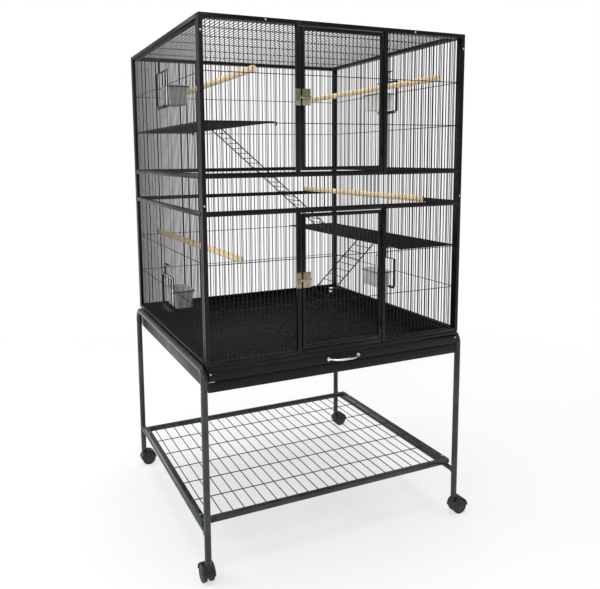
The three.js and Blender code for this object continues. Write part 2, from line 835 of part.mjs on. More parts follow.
/** A lower stand frame: a front and a back leg with the stretcher welded between them. */
function lowerFrame(x) {
  const front = legIn;
  const back = cageDepth - legIn;
  const legTop = legJointZ - restGap;
  return joined([
    rod([x, front, legBottomZ], [x, front, legTop], legRadius, 12),
    rod([x, back, legBottomZ], [x, back, legTop], legRadius, 12),
    rod([x, front, stretcherZ], [x, back, stretcherZ], stretcherRadius, 12),
  ]);
}

/** The wire shelf: a frame of square tube that sits on the stretchers, filled with wires. */
function lowerShelf() {
  const z0 = stretcherZ + stretcherRadius + restGap;
  const z1 = z0 + shelfTube;
  const [y0, y1] = [shelfFront, cageDepth - shelfBack];
  const [x0, x1] = [-shelfOut, cageWidth + shelfOut];
  const sides = [x0, x1 - shelfTube].map((x) => block([x, y0, z0], [x + shelfTube, y1, z1]));
  const inner = [x0 + shelfTube, x1 - shelfTube];
  const ends = [y0, y1 - shelfTube].map((y) => {
    return block([inner[0] - 0.5, y, z0], [inner[1] + 0.5, y + shelfTube, z1]);
  });
  const half = shelfWire / 2;
  const upperWire = z1 - shelfWireDrop - half;
  const along = wireCentres(inner[0], inner[1], shelfSpan).map((x) => {
    const [front, back] = [y0 + shelfTube - wireEmbed, y1 - shelfTube + wireEmbed];
    return block([x - half, front, upperWire - half], [x + half, back, upperWire + half]);
  });
  const lowerWire = upperWire - shelfWire - restGap;
  const across = wireCentres(y0 + shelfTube, y1 - shelfTube, shelfCrossSpan).map((y) => {
    const [left, right] = [inner[0] - wireEmbed, inner[1] + wireEmbed];
    return block([left, y - half, lowerWire - half], [right, y + half, lowerWire + half]);
  });
  return joined([...sides, ...ends, ...along, ...across]);
}

/** Twin caster wheels on one axle, turned about Y, with a flat of the tread facing down. */
function casterWheels() {
  const out = wheelInner + wheelWidth;
  const rim = wheelRadius / Math.cos(Math.PI / wheelSides);
  const upper = [[axleRadius, wheelInner], [rim, wheelInner], [rim, out - 2], [rim - 2.5, out], [0, out]];
  const lower = upper.map(([r, h]) => [r, -h]).reverse();
  const points = [...lower, ...upper].map(([r, h]) => new THREE.Vector2(r, h));
  return new THREE.LatheGeometry(points, wheelSides, Math.PI / wheelSides);
}

/** A caster's hood: a roof over the wheels, a web between them and the stem that swivels. */
function casterHood() {
  const inner = wheelRadius / Math.cos(Math.PI / wheelSides) + hoodGap;
  const outer = inner + hoodThickness;
  const half = wheelInner + wheelWidth + 1;
  const roofShape = new THREE.Shape();
  roofShape.absarc(0, 0, outer, 0, Math.PI, false);
  roofShape.absarc(0, 0, inner, Math.PI, 0, true);
  const webShape = new THREE.Shape();
  webShape.absarc(0, 0, inner + 1, 0, Math.PI, false);
  webShape.lineTo(-8, -9);
  webShape.lineTo(8, -9);
  const extrude = (shape, depth) => {
    const settings = { depth: 2 * depth, bevelEnabled: false, curveSegments: 6 };
    const body = new THREE.ExtrudeGeometry(shape, settings);
    return body.translate(0, 0, -depth).rotateX(Math.PI / 2);
  };
  const stemTop = legBottomZ - wheelRadius - restGap;
  const stem = rod([-casterTrail, 0, inner * 0.6], [-casterTrail, 0, stemTop], stemRadius, 10);
  const axleHole = rod([0, -half, 0], [0, half, 0], axleRadius + axleClearance, 10);
  const wheelRoom = [-1, 1].map((way) => {
    return solid(rod([0, way * hoodWeb, 0], [0, way * (half + 2), 0], inner, 12));
  });
  let hood = join([extrude(roofShape, half), extrude(webShape, hoodWeb), stem]);
  for (const room of wheelRoom) hood = hood.subtract(room);
  return geometryOf(hood.subtract(solid(axleHole)));
}

// Front of the cage
piece('front_left_bay', joined(bay('front', 0, doorwayLeft, 'high')), black);
piece('front_right_bay', joined([...bay('front', doorwayRight, cageWidth, 'low'), ...fixedKnuckles()]), black);
piece('front_middle_band', middleBand(), black);
const doorwaySpan = [doorwayLeft + restGap, doorwayRight - restGap];
for (const [name, z] of [['door_header', cageTop - frameTube], ['door_sill', cageBottom]]) {
  const bar = blockOn('front', [doorwaySpan[0], z, 0], [doorwaySpan[1], z + frameTube, frameTube]);
  piece(name, bar, black);
}

// Back, sides and top
piece('back_panel', joined(bay('back', 0, cageWidth)), black);
piece('left_panel', sidePanel('left'), black);
piece('right_panel', sidePanel('right'), black);
const topInset = frameTube + restGap;
const topArea = [topInset, cageWidth - topInset, topInset, cageDepth - topInset];
piece('top_panel', topPanel(), black);

/** The top panel, which lies between the rails of the four upright panels. */
function topPanel() {
  const [u0, u1, v0, v1] = topArea;
  const size = frameTube;
  const inside = [u0 + size, u1 - size, v0 + size, v1 - size];
  const levels = [-2, -1, 0, 1, 2].map((step) => cageDepth / 2 + step * crossSpacing);
  return joined([
    ...tubeFrame('top', [u0, u1, v0, v1], size),
    ...uprights('top', inside, topWireDepth, drawnPitch.top),
    ...crossWires('top', inside, levels, topWireDepth + wire + restGap),
  ]);
}

// Doors with their hinges and latches
for (const [name, span] of Object.entries(doors)) {
  const latchZ = (span[0] + span[1]) / 2 + 6;
  piece(`${name}_door`, door(span), black);
  piece(`${name}_door_hinge_pin`, hingePin(span), black);
  piece(`${name}_latch_base`, latchBase(latchZ), zinc);
  piece(`${name}_latch_lever`, latchLever(latchZ), zinc);
  piece(`${name}_latch_keeper`, latchKeeper(latchZ), zinc);
}

// Feeders
for (const face of ['left', 'right']) {
  for (const [level, hole] of [['lower', feederHoles[0]], ['upper', feederHoles[1]]]) {
    piece(`${face}_${level}_feeder_door`, feederDoor(face, hole), black);
    piece(`${face}_${level}_feeder_cup`, cup(face, hole), clearPlastic);
    piece(`${face}_${level}_feeder_latch`, feederLatch(face, hole), black);
  }
}

// Furniture inside the cage
const onWire = crossWire / 2 + restGap;
const highPerchZ = crossLevels[1] + onWire + perchRadius;
piece('upper_left_perch', perch(150, 165, highPerchZ), pine);
piece('upper_right_perch', perch(749, 729, highPerchZ), pine);
piece('middle_right_perch', perch(690, 690, lowerRailZ + midRailHeight + restGap + perchRadius), pine);
piece('lower_left_perch', perch(104, 78, crossLevels[2] + onWire + perchRadius), pine);
const upperPlatformX = frameTube + 1.5;
const lowerPlatformX = cageWidth - frameTube - 1.5 - platformWidth;
const upperPlatformZ = crossLevels[3] + onWire;
const lowerPlatformZ = crossLevels[2] + onWire;
piece('upper_platform', platform(upperPlatformX, upperPlatformZ), black);
piece('lower_platform', platform(lowerPlatformX, lowerPlatformZ), black);
const lowerPlatformTop = lowerPlatformZ + platformThickness;
piece(
  'upper_ladder',
  ladder(upperLadderY, upperPlatformX + platformWidth, upperPlatformZ, upperLadderFoot, lowerPlatformTop),
  black,
);
const grateTop = grateLedgeZ + sheet + slideGap + grateBar;
piece('lower_ladder', ladder(lowerLadderY, lowerPlatformX, lowerPlatformZ, lowerLadderFoot, grateTop), black);

// Base
piece('base_left_wall', housingSide('left'), black);
piece('base_right_wall', housingSide('right'), black);
piece('base_back_wall', housingBack(), black);
piece('base_front_rail', housingFront(), black);
piece('floor_grate', floorGrate(), black);
piece('tray', tray(), black);
piece('tray_handle', trayHandle(), chrome);

// Stand
const legX = { left: -legOut, right: cageWidth + legOut };
for (const side of ['left', 'right']) {
  piece(`stand_${side}_tube`, standSide(legX[side]), hammerGrey);
  piece(`stand_${side}_legs`, lowerFrame(legX[side]), hammerGrey);
}
piece('lower_shelf', lowerShelf(), hammerGrey);

// Casters, each turned to the way it trails
const casters = [
  ['front_left', legX.left, legIn, Math.PI / 2],
  ['front_right', legX.right, legIn, 0],
  ['back_left', legX.left, cageDepth - legIn, 0],
  ['back_right', legX.right, cageDepth - legIn, 0],
];
for (const [name, x, y, heading] of casters) {
  const axle = new THREE.Vector3(casterTrail, 0, 0).applyAxisAngle(new THREE.Vector3(0, 0, 1), heading);
  for (const [part, geometry] of [['hood', casterHood()], ['wheels', casterWheels()]]) {
    const mesh = piece(`${name}_caster_${part}`, geometry, darkPlastic);
    mesh.position.set(x + axle.x, y + axle.y, wheelRadius);
    mesh.rotation.z = heading;
  }
}

// The origin is the middle of the object's box, on the floor
const bounds = new THREE.Box3().setFromObject(cage, true);
const middle = bounds.getCenter(new THREE.Vector3());
cage.position.set(-middle.x, -middle.y, -bounds.min.z);
const root = new THREE.Group();
root.add(cage);

export default root;
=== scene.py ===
"""Visual model of a wire flight cage for birds on a rolling stand.

Lengths are in millimetres, measured from the cage's front left bottom corner on the floor, until a
piece's mesh is made. The jig then turns them into metres in the part's own frame.
"""

import json
import logging
import math
from collections.abc import Iterable, Sequence
from dataclasses import dataclass, field
from enum import Enum
from functools import cache

import bpy
from mathutils import Matrix, Vector


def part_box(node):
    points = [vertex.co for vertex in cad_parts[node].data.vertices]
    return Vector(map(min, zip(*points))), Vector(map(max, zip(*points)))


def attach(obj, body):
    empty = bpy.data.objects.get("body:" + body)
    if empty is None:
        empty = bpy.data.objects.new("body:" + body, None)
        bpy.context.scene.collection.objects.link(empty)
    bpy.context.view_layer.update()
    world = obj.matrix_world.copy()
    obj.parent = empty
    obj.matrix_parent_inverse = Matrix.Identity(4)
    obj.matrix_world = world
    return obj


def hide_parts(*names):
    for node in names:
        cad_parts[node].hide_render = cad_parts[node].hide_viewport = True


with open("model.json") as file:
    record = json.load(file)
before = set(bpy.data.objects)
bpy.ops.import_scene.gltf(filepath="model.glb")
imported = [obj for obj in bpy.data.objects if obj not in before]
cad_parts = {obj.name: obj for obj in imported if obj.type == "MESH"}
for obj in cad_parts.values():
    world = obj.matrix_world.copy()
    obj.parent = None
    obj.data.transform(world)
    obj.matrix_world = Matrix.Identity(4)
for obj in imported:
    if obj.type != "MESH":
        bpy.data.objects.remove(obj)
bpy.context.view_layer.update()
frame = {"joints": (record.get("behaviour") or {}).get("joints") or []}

LOG = logging.getLogger("bird_cage")
MM = 0.001
UP = Vector((0, 0, 1))
TO_FRONT = Vector((0, -1, 0))
Ring = list[Vector]
Section = list[tuple[float, float]]
Span = tuple[float, float]


# ---------------------------------------------------------------- shader graphs


class Graph:
    """The node graph of one material."""

    def __init__(self, name: str) -> None:
        """Starts an empty material with an output and a Principled shader.

        Args:
            name: the material's name.
        """
        self.material = bpy.data.materials.new(name)
        self.material.use_nodes = True
        self.tree = self.material.node_tree
        self.tree.nodes.clear()
        self.output = self.tree.nodes.new("ShaderNodeOutputMaterial")
        self.shader = self.node("ShaderNodeBsdfPrincipled")
        self.tree.links.new(self.shader.outputs["BSDF"], self.output.inputs["Surface"])

    def node(self, kind: str, settings: dict | None = None, inputs: dict | None = None) -> bpy.types.Node:
        """Adds a node.

        Args:
            kind: the node's type name.
            settings: attributes to set first; "stops" fills a colour ramp.
            inputs: socket name or number to a value, a socket or a Value.

        Returns:
            The new node.
        """
        made = self.tree.nodes.new(kind)
        for name, value in (settings or {}).items():
            if name == "stops":
                self._fill_ramp(made, value)
            else:
                setattr(made, name, value)
        for name, value in (inputs or {}).items():
            self.feed(made.inputs[name], value)
        return made

    def _fill_ramp(self, ramp: bpy.types.Node, stops: Sequence[tuple]) -> None:
        """Sets a colour ramp's stops, each a position and a colour.

        Args:
            ramp: the ramp node.
            stops: positions with their colours.
        """
        elements = ramp.color_ramp.elements
        while len(elements) < len(stops):
            elements.new(0.5)
        for element, (position, colour) in zip(elements, stops):
            element.position = position
            element.color = (*colour, 1)

    def feed(self, socket: bpy.types.NodeSocket, value: object) -> None:
        """Links or sets one input socket.

        Args:
            socket: the input to feed.
            value: a Value, a socket, or a plain value to set.
        """
        if isinstance(value, Value):
            self.tree.links.new(value.socket, socket)
        elif isinstance(value, bpy.types.NodeSocket):
            self.tree.links.new(value, socket)
        else:
            socket.default_value = value

    def place(self) -> bpy.types.NodeSocket:
        """The object's own coordinates, in metres."""
        return self.node("ShaderNodeTexCoord").outputs["Object"]

    def stretched(self, scale: tuple[float, float, float]) -> bpy.types.NodeSocket:
        """Object coordinates scaled along each axis."""
        inputs = {0: self.place(), 1: scale}
        return self.node("ShaderNodeVectorMath", {"operation": "MULTIPLY"}, inputs).outputs[0]

    def noise(self, size_mm: float, detail: float = 3.0, vector: object = None) -> "Value":
        """Noise whose lumps are about one size across.

        Args:
            size_mm: the size of a lump.
            detail: how many finer octaves it carries.
            vector: coordinates to use in place of the object's own.

        Returns:
            A value from 0 to 1.
        """
        inputs = {"Vector": vector or self.place(), "Scale": 1 / (size_mm * MM), "Detail": detail}
        return Value(self, self.node("ShaderNodeTexNoise", None, inputs).outputs[0])

    def cells(self, size_mm: float) -> "Value":
        """Distance to the nearest of cells about one size across.

        Args:
            size_mm: the size of a cell.

        Returns:
            The distance, as a value.
        """
        inputs = {"Vector": self.place(), "Scale": 1 / (size_mm * MM)}
        settings = {"feature": "SMOOTH_F1"}
        return Value(self, self.node("ShaderNodeTexVoronoi", settings, inputs).outputs["Distance"])

    def upward(self) -> "Value":
        """How far a surface faces up, from 0 to 1.

        Returns:
            1 on a top face, 0 on an upright or under face.
        """
        geometry = self.node("ShaderNodeNewGeometry")
        parts = self.node("ShaderNodeSeparateXYZ", None, {0: geometry.outputs["Normal"]})
        return Value(self, parts.outputs["Z"]).clamped()

    def mix(self, amount: object, first: object, second: object) -> bpy.types.NodeSocket:
        """Blends two colours.

        Args:
            amount: how much of the second, from 0 to 1.
            first: a colour or its socket.
            second: a colour or its socket.

        Returns:
            The blended colour.
        """
        node = self.node("ShaderNodeMix", {"data_type": "RGBA"})
        self.feed(node.inputs[0], amount)
        self.feed(node.inputs[6], first)
        self.feed(node.inputs[7], second)
        return node.outputs[2]

    def bump(self, height: object, depth_mm: float, strength: float = 1.0) -> None:
        """Feeds the shader's normal with a height."""
        inputs = {"Height": height, "Distance": depth_mm * MM, "Strength": strength}
        self.feed(self.shader.inputs["Normal"], self.node("ShaderNodeBump", None, inputs).outputs[0])

    def set(self, **values: object) -> None:
        """Sets shader sockets by name, with _ for a space."""
        for name, value in values.items():
            self.feed(self.shader.inputs[name.replace("_", " ")], value)


class Value:
    """A number socket that Python arithmetic works on."""

    def __init__(self, graph: Graph, socket: bpy.types.NodeSocket) -> None:
        """Wraps a socket of a graph."""
        self.graph = graph
        self.socket = socket

    def _math(self, operation: str, *numbers: object, clamp: bool = False) -> "Value":
        """Adds one Math node.

        Args:
            operation: the node's operation.
            *numbers: its inputs, as values or plain numbers.
            clamp: whether the result is held between 0 and 1.

        Returns:
            The result.
        """
        settings = {"operation": operation, "use_clamp": clamp}
        node = self.graph.node("ShaderNodeMath", settings, dict(enumerate(numbers)))
        return Value(self.graph, node.outputs[0])

    def __add__(self, other: object) -> "Value":
        """This plus other."""
        return self._math("ADD", self, other)

    __radd__ = __add__

    def __mul__(self, other: object) -> "Value":
        """This times other."""
        return self._math("MULTIPLY", self, other)

    __rmul__ = __mul__

    def __sub__(self, other: object) -> "Value":
        """This minus other."""
        return self._math("SUBTRACT", self, other)

    def __rsub__(self, other: object) -> "Value":
        """Other minus this."""
        return self._math("SUBTRACT", other, self)

    def clamped(self) -> "Value":
        """This value held between 0 and 1."""
        return self._math("ADD", self, 0.0, clamp=True)

    def between(self, low: float, high: float) -> "Value":
        """Rises smoothly from 0 at low to 1 at high.

        Args:
            low: where the rise starts.
            high: where it ends.

        Returns:
            A value from 0 to 1.
        """
        inputs = {"Value": self, "From Min": low, "From Max": high}
        settings = {"interpolation_type": "SMOOTHSTEP"}
        return Value(self.graph, self.graph.node("ShaderNodeMapRange", settings, inputs).outputs[0])


Colour = tuple[float, float, float]


def opaque(colour: Colour) -> tuple[float, float, float, float]:
    """A colour with full alpha."""
    return (*colour, 1.0)


# ---------------------------------------------------------------- finishes


class Skin(Enum):
    """The surface that a paint dries to."""

    SMOOTH = "smooth"
    HAMMERED = "hammered"


@dataclass(frozen=True)
class Enamel:
    """Baked enamel on steel."""

    name: str
    slot: str
    colour: Colour
    light: Colour
    roughness: float
    skin: Skin = Skin.SMOOTH
    coat: float = 0.04

    def material(self) -> bpy.types.Material:
        """Builds the paint: tone that drifts, fine texture and dust on top faces.

        Returns:
            The material.
        """
        graph = Graph(self.name)
        drift = graph.noise(60, 4).between(0.35, 0.7)
        speckle = graph.noise(1.1, 2).between(0.5, 0.75)
        dust = graph.upward() * graph.noise(14, 5).between(0.4, 0.8)
        tone = graph.mix(drift * 0.35 + speckle * 0.3, opaque(self.colour), opaque(self.light))
        graph.set(
            Base_Color=graph.mix(dust * 0.09, tone, opaque((0.30, 0.29, 0.27))),
            Roughness=drift * 0.10 + dust * 0.22 + self.roughness,
            Metallic=0.0,
            Coat_Weight=self.coat,
            Coat_Roughness=0.18,
            Specular_IOR_Level=0.17,
        )
        if self.skin is Skin.HAMMERED:
            graph.bump(graph.cells(3.2) * 0.8 + graph.noise(1.6, 2) * 0.25, 0.35, 0.8)
        else:
            graph.bump(graph.noise(1.4, 3) + graph.noise(0.5, 2) * 0.4, 0.05, 0.7)
        return graph.material


@dataclass(frozen=True)
class Plating:
    """Plated metal."""

    name: str
    slot: str
    colour: Colour
    stain: Colour
    roughness: float
    brushed_mm: float = 1.2

    def material(self) -> bpy.types.Material:
        """Builds the plating: fine brushing and duller, darker patches.

        Returns:
            The material.
        """
        graph = Graph(self.name)
        patches = graph.noise(6, 5).between(0.45, 0.75)
        lines = graph.noise(self.brushed_mm, 2, graph.stretched((1.0, 1.0, 0.08)))
        graph.set(
            Base_Color=graph.mix(patches * 0.6, opaque(self.colour), opaque(self.stain)),
            Roughness=patches * 0.12 + lines * 0.10 + self.roughness,
            Metallic=1.0,
        )
        graph.bump(lines, 0.02, 0.6)
        return graph.material


@dataclass(frozen=True)
class Pine:
    """Bare sanded pine dowel with its grain from end to end."""

    name: str
    slot: str
    early: Colour
    late: Colour
    knot: Colour

    def material(self) -> bpy.types.Material:
        """Builds the wood: bands along the dowel, pores, and darker streaks.

        Returns:
            The material.
        """
        graph = Graph(self.name)
        long_way = graph.stretched((1.0, 0.035, 1.0))
        wander = graph.noise(5.5, 4, long_way)
        bands = graph.noise(1.5, 3, graph.stretched((1.0, 0.02, 1.0))).between(0.38, 0.66)
        streaks = graph.noise(9, 3, graph.stretched((1.0, 0.08, 1.0))).between(0.58, 0.8)
        pores = graph.noise(0.5, 2, graph.stretched((1.0, 0.05, 1.0))).between(0.6, 0.75)
        tone = graph.mix((bands * 0.75 + wander * 0.25).clamped(), opaque(self.early), opaque(self.late))
        stained = graph.mix(streaks * 0.55, tone, opaque(self.knot))
        graph.set(
            Base_Color=graph.mix(pores * 0.35, stained, opaque(self.knot)),
            Roughness=bands * 0.12 + 0.52,
            Specular_IOR_Level=0.35,
        )
        graph.bump(1 - pores * 0.6 + bands * 0.4, 0.08, 0.8)
        return graph.material


@dataclass(frozen=True)
class Plastic:
    """Moulded plastic."""

    name: str
    slot: str
    colour: Colour
    scuffed: Colour
    roughness: float
    clear: float = 0.0
    grain_mm: float = 0.8
    grain_depth_mm: float = 0.03

    def material(self) -> bpy.types.Material:
        """Builds the plastic: mould grain, flow marks and scuffs.

        Returns:
            The material.
        """
        graph = Graph(self.name)
        scuffs = graph.noise(9, 6).between(0.52, 0.72)
        flow = graph.noise(30, 2, graph.stretched((1.0, 1.0, 0.4)))
        graph.set(
            Base_Color=graph.mix(scuffs * 0.35, opaque(self.colour), opaque(self.scuffed)),
            Roughness=scuffs * 0.18 + flow * 0.08 + self.roughness,
            Transmission_Weight=self.clear,
            IOR=1.46,
        )
        graph.bump(graph.noise(self.grain_mm, 2) + flow * 0.5, self.grain_depth_mm, 0.6)
        return graph.material


Finish = Enamel | Plating | Pine | Plastic

BLACK_ENAMEL = Enamel("black_enamel", "cage_enamel", (0.0035, 0.0038, 0.0044), (0.0105, 0.0115, 0.0125), 0.30)
BLACK_WIRE = Enamel("black_wire_enamel", "cage_enamel", (0.0035, 0.0037, 0.004), (0.010, 0.010, 0.011), 0.36)
MESH_BLACK = Enamel("black_mesh_enamel", "wire_coating", (0.004, 0.0042, 0.0046), (0.010, 0.010, 0.011), 0.42)
SHELF_WIRE = Enamel("shelf_wire_enamel", "stand_enamel", (0.010, 0.012, 0.013), (0.026, 0.030, 0.032), 0.36)
HAMMERTONE = Enamel(
    "hammered_grey_enamel", "stand_enamel", (0.018, 0.023, 0.026), (0.070, 0.086, 0.096), 0.28, Skin.HAMMERED, 0.35
)
ZINC = Plating("yellow_zinc", "latch_zinc", (0.36, 0.33, 0.21), (0.10, 0.09, 0.05), 0.24)
SCREW_ZINC = Plating("bright_zinc", "latch_zinc", (0.72, 0.71, 0.68), (0.4, 0.39, 0.36), 0.25)
CHROME = Plating("chrome", "handle_chrome", (0.82, 0.83, 0.84), (0.62, 0.63, 0.64), 0.06, 0.6)
PINE = Pine("pine", "perch_wood", (0.90, 0.75, 0.49), (0.74, 0.54, 0.30), (0.50, 0.32, 0.16))
CUP_PLASTIC = Plastic("cup_plastic", "feeder_plastic", (0.90, 0.89, 0.86), (0.72, 0.69, 0.66), 0.22, 0.12)
CASTER_NYLON = Plastic("caster_nylon", "caster_plastic", (0.012, 0.013, 0.014), (0.035, 0.036, 0.038), 0.38)
CASTER_TREAD = Plastic("caster_tread", "caster_tread", (0.016, 0.017, 0.018), (0.045, 0.045, 0.045), 0.5)


# ---------------------------------------------------------------- making shapes


def round_section(radius: float, sides: int) -> Section:
    """A circle as a polygon."""
    angles = [2 * math.pi * i / sides for i in range(sides)]
    return [(radius * math.cos(a), radius * math.sin(a)) for a in angles]


def square_section(width: float, height: float, corner: float, steps: int = 3) -> Section:
    """A rectangle with rounded corners.

    Args:
        width: its size across.
        height: its size up.
        corner: the radius of its corners.
        steps: how many points each corner has.

    Returns:
        The outline, anticlockwise.
    """
    outline = []
    for quarter, (sx, sy) in enumerate(((1, 1), (-1, 1), (-1, -1), (1, -1))):
        cx, cy = sx * (width / 2 - corner), sy * (height / 2 - corner)
        for step in range(steps):
            angle = math.pi / 2 * (quarter + step / (steps - 1))
            outline.append((cx + corner * math.cos(angle), cy + corner * math.sin(angle)))
    return outline


@dataclass
class Route:
    """The centre line of a bent bar: straight runs with round bends."""

    corners: list[Vector]
    bend: float
    steps: int = 8

    def stations(self) -> list[tuple[Vector, Vector]]:
        """Points along the line with the direction at each.

        Returns:
            Each point with its direction, from the first corner to the last.
        """
        first, last = self.corners[0], self.corners[-1]
        made = [(first, (self.corners[1] - first).normalized())]
        for before, corner, after in zip(self.corners, self.corners[1:], self.corners[2:]):
            made += self._bend(before, corner, after)
        made.append((last, (last - self.corners[-2]).normalized()))
        return made

    def _bend(self, before: Vector, corner: Vector, after: Vector) -> list[tuple[Vector, Vector]]:
        """The stations round one corner.

        Args:
            before: the corner before it.
            corner: the corner that is rounded.
            after: the corner after it.

        Returns:
            Each point with its direction.
        """
        incoming = (corner - before).normalized()
        outgoing = (after - corner).normalized()
        turn = incoming.angle(outgoing)
        start = corner - incoming * (self.bend * math.tan(turn / 2))
        inward = (outgoing - incoming * outgoing.dot(incoming)).normalized()
        centre = start + inward * self.bend
        made = []
        for step in range(self.steps + 1):
            angle = turn * step / self.steps
            point = centre - inward * (self.bend * math.cos(angle)) + incoming * (self.bend * math.sin(angle))
            made.append((point, incoming * math.cos(angle) + inward * math.sin(angle)))
        return made


class Stock:
    """The closed shapes that together make one piece's mesh."""

    def __init__(self) -> None:
        """Starts with nothing."""
        self.points: list[Vector] = []
        self.faces: list[tuple[int, ...]] = []

    def loft(self, rings: Sequence[Ring], closed: bool = False) -> None:
        """Skins rings of equal length.

        Args:
            rings: the rings in order, all turning the same way.
            closed: whether the last ring joins the first, in place of end caps.
        """
        first, sides, count = len(self.points), len(rings[0]), len(rings)
        for ring in rings:
            self.points.extend(ring)
        for k in range(count if closed else count - 1):
            a, b = first + k * sides, first + ((k + 1) % count) * sides
            for i in range(sides):
                j = (i + 1) % sides
                self.faces.append((a + i, a + j, b + j, b + i))
        if not closed:
            self.faces.append(tuple(range(first + sides - 1, first - 1, -1)))
            self.faces.append(tuple(range(first + (count - 1) * sides, first + count * sides)))

    def bar(self, a: Vector, b: Vector, section: Section, soft: float = 0.3, up: Vector = UP) -> None:
        """A straight bar with softened ends.

        Args:
            a: one end.
            b: the other end.
            section: its outline across.
            soft: how far its ends are rounded.
            up: the way that the section's second direction leans.
        """
        along = (b - a).normalized()
        side = up.cross(along)
        if side.length < 0.01:
            side = Vector((0, 1, 0)).cross(along)
        side.normalize()
        top = along.cross(side)
        reach = max(math.hypot(x, y) for x, y in section)
        length = (b - a).length
        rings = []
        for distance, inset in ((0, soft), (soft, 0), (length - soft, 0), (length, soft)):
            share = 1 - inset / reach
            middle = a + along * distance
            rings.append([middle + side * (x * share) + top * (y * share) for x, y in section])
        self.loft(rings)

    def rod(self, a: Vector, b: Vector, radius: float, sides: int = 8, soft: float = 0.3) -> None:
        """A straight round bar."""
        self.bar(a, b, round_section(radius, sides), soft)

    def block(self, low: Sequence[float], high: Sequence[float], corner: float = 0.6) -> None:
        """A box with rounded edges between two corners given in any order.

        Args:
            low: one corner.
            high: the corner across from it.
            corner: the radius of its edges.
        """
        lo = Vector(map(min, low, high))
        hi = Vector(map(max, low, high))
        size = hi - lo
        axis = max(range(3), key=lambda i: size[i])
        across = [i for i in range(3) if i != axis]
        middle = (lo + hi) / 2
        a, b = middle.copy(), middle.copy()
        a[axis], b[axis] = lo[axis], hi[axis]
        up = Vector((0, 0, 0))
        up[across[1]] = 1
        radius = min(corner, *(size[i] * 0.45 for i in across))
        self.bar(a, b, square_section(size[across[0]], size[across[1]], radius), radius, up)

    def bent(self, route: Route, section: Section, soft: float = 0.3, taper: float = 0.0) -> None:
        """A bar bent along a route.

        Args:
            route: its centre line.
            section: its outline across.
            soft: how far its ends are rounded.
            taper: by what share its ends are slimmer than its middle.
        """
        stations = route.stations()
        tangent = stations[0][1]
        side = tangent.orthogonal().normalized()
        reach = max(math.hypot(x, y) for x, y in section)
        rings = []
        for index, (point, direction) in enumerate(stations):
            side = (tangent.rotation_difference(direction) @ side).normalized()
            tangent = direction
            top = direction.cross(side)
            share = 1 - taper * (1 - math.sin(math.pi * index / (len(stations) - 1)))
            if index in (0, len(stations) - 1):
                share -= soft / reach
            rings.append([point + side * (x * share) + top * (y * share) for x, y in section])
            slim = [(x * (1 - taper), y * (1 - taper)) for x, y in section]
            if index == 0:
                rings.append([p + direction * soft for p in self._ring(point, side, top, slim)])
            if index == len(stations) - 1:
                rings.insert(-1, [p - direction * soft for p in self._ring(point, side, top, slim)])
        self.loft(rings)

    def _ring(self, point: Vector, side: Vector, top: Vector, section: Section) -> Ring:
        """One ring of a section."""
        return [point + side * x + top * y for x, y in section]

    def turned(
        self, origin: Vector, axis: Vector, profile: Sequence[Span], sides: int = 24, closed: bool = False
    ) -> None:
        """A turned shape.

        Args:
            origin: where the profile's distances start.
            axis: the way they run.
            profile: distance along the axis and radius, in order.
            sides: how many sides it has.
            closed: whether the profile closes on itself, as round a bore.
        """
        along = axis.normalized()
        side = along.orthogonal().normalized()
        top = along.cross(side)
        rings = []
        for distance, radius in profile:
            section = round_section(radius, sides)
            rings.append(self._ring(origin + along * distance, side, top, section))
        self.loft(rings, closed)


@dataclass(frozen=True)
class Jig:
    """Where the cage's own corner stands in the part's frame, and the cage's overall size."""

    corner: Vector
    width: float
    depth: float
    top: float
    bottom: float

    @classmethod
    def from_frame(cls) -> "Jig":
        """Reads the corner and the sizes from the solids.

        Returns:
            The jig.
        """
        left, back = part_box("front_left_bay"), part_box("back_panel")
        corner = Vector((left[0].x, left[0].y, 0)) / MM
        return cls(
            corner,
            (back[1].x - left[0].x) / MM,
            (back[1].y - left[0].y) / MM,
            back[1].z / MM,
            back[0].z / MM,
        )

    def point(self, metres: Sequence[float]) -> Vector:
        """A point of the part's frame in the cage's millimetres."""
        return Vector(metres) / MM - self.corner

    def box(self, node: str) -> tuple[Vector, Vector]:
        """A solid's lowest and highest corners in the cage's millimetres."""
        low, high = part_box(node)
        return self.point(low), self.point(high)

    def piece(
        self, stock: Stock, name: str, body: str, finish: Finish, nodes: Iterable[str] = (), angle: float = 38
    ) -> bpy.types.Object:
        """Makes a piece from its stock.

        Args:
            stock: the shapes.
            name: the piece's name.
            body: the body that it moves with.
            finish: what it is coated with or made of.
            nodes: the solids that it stands for.
            angle: the sharpest bend, in degrees, that still shades smoothly.

        Returns:
            The new object.
        """
        mesh = bpy.data.meshes.new(name)
        points = [(point + self.corner) * MM for point in stock.points]
        mesh.from_pydata(points, [], stock.faces)
        mesh.validate()
        mesh.shade_smooth()
        mesh.set_sharp_from_angle(angle=math.radians(angle))
        mesh.materials.append(material_of(finish))
        made = bpy.data.objects.new(name, mesh)
        bpy.context.scene.collection.objects.link(made)
        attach(made, body)
        if nodes:
            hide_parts(*nodes)
        LOG.info("%s: %d points", name, len(points))
        return made


@cache
def material_of(finish: Finish) -> bpy.types.Material:
    """A finish's material, made once."""
    return finish.material()


def joint(name: str) -> dict:
    """A joint's facts from the record."""
    return next(one for one in frame["joints"] if one["name"] == name)


# ---------------------------------------------------------------- cage shell


class Face(Enum):
    """A face of the cage."""

    FRONT = "front"
    BACK = "back"
    LEFT = "left"
    RIGHT = "right"
    TOP = "top"


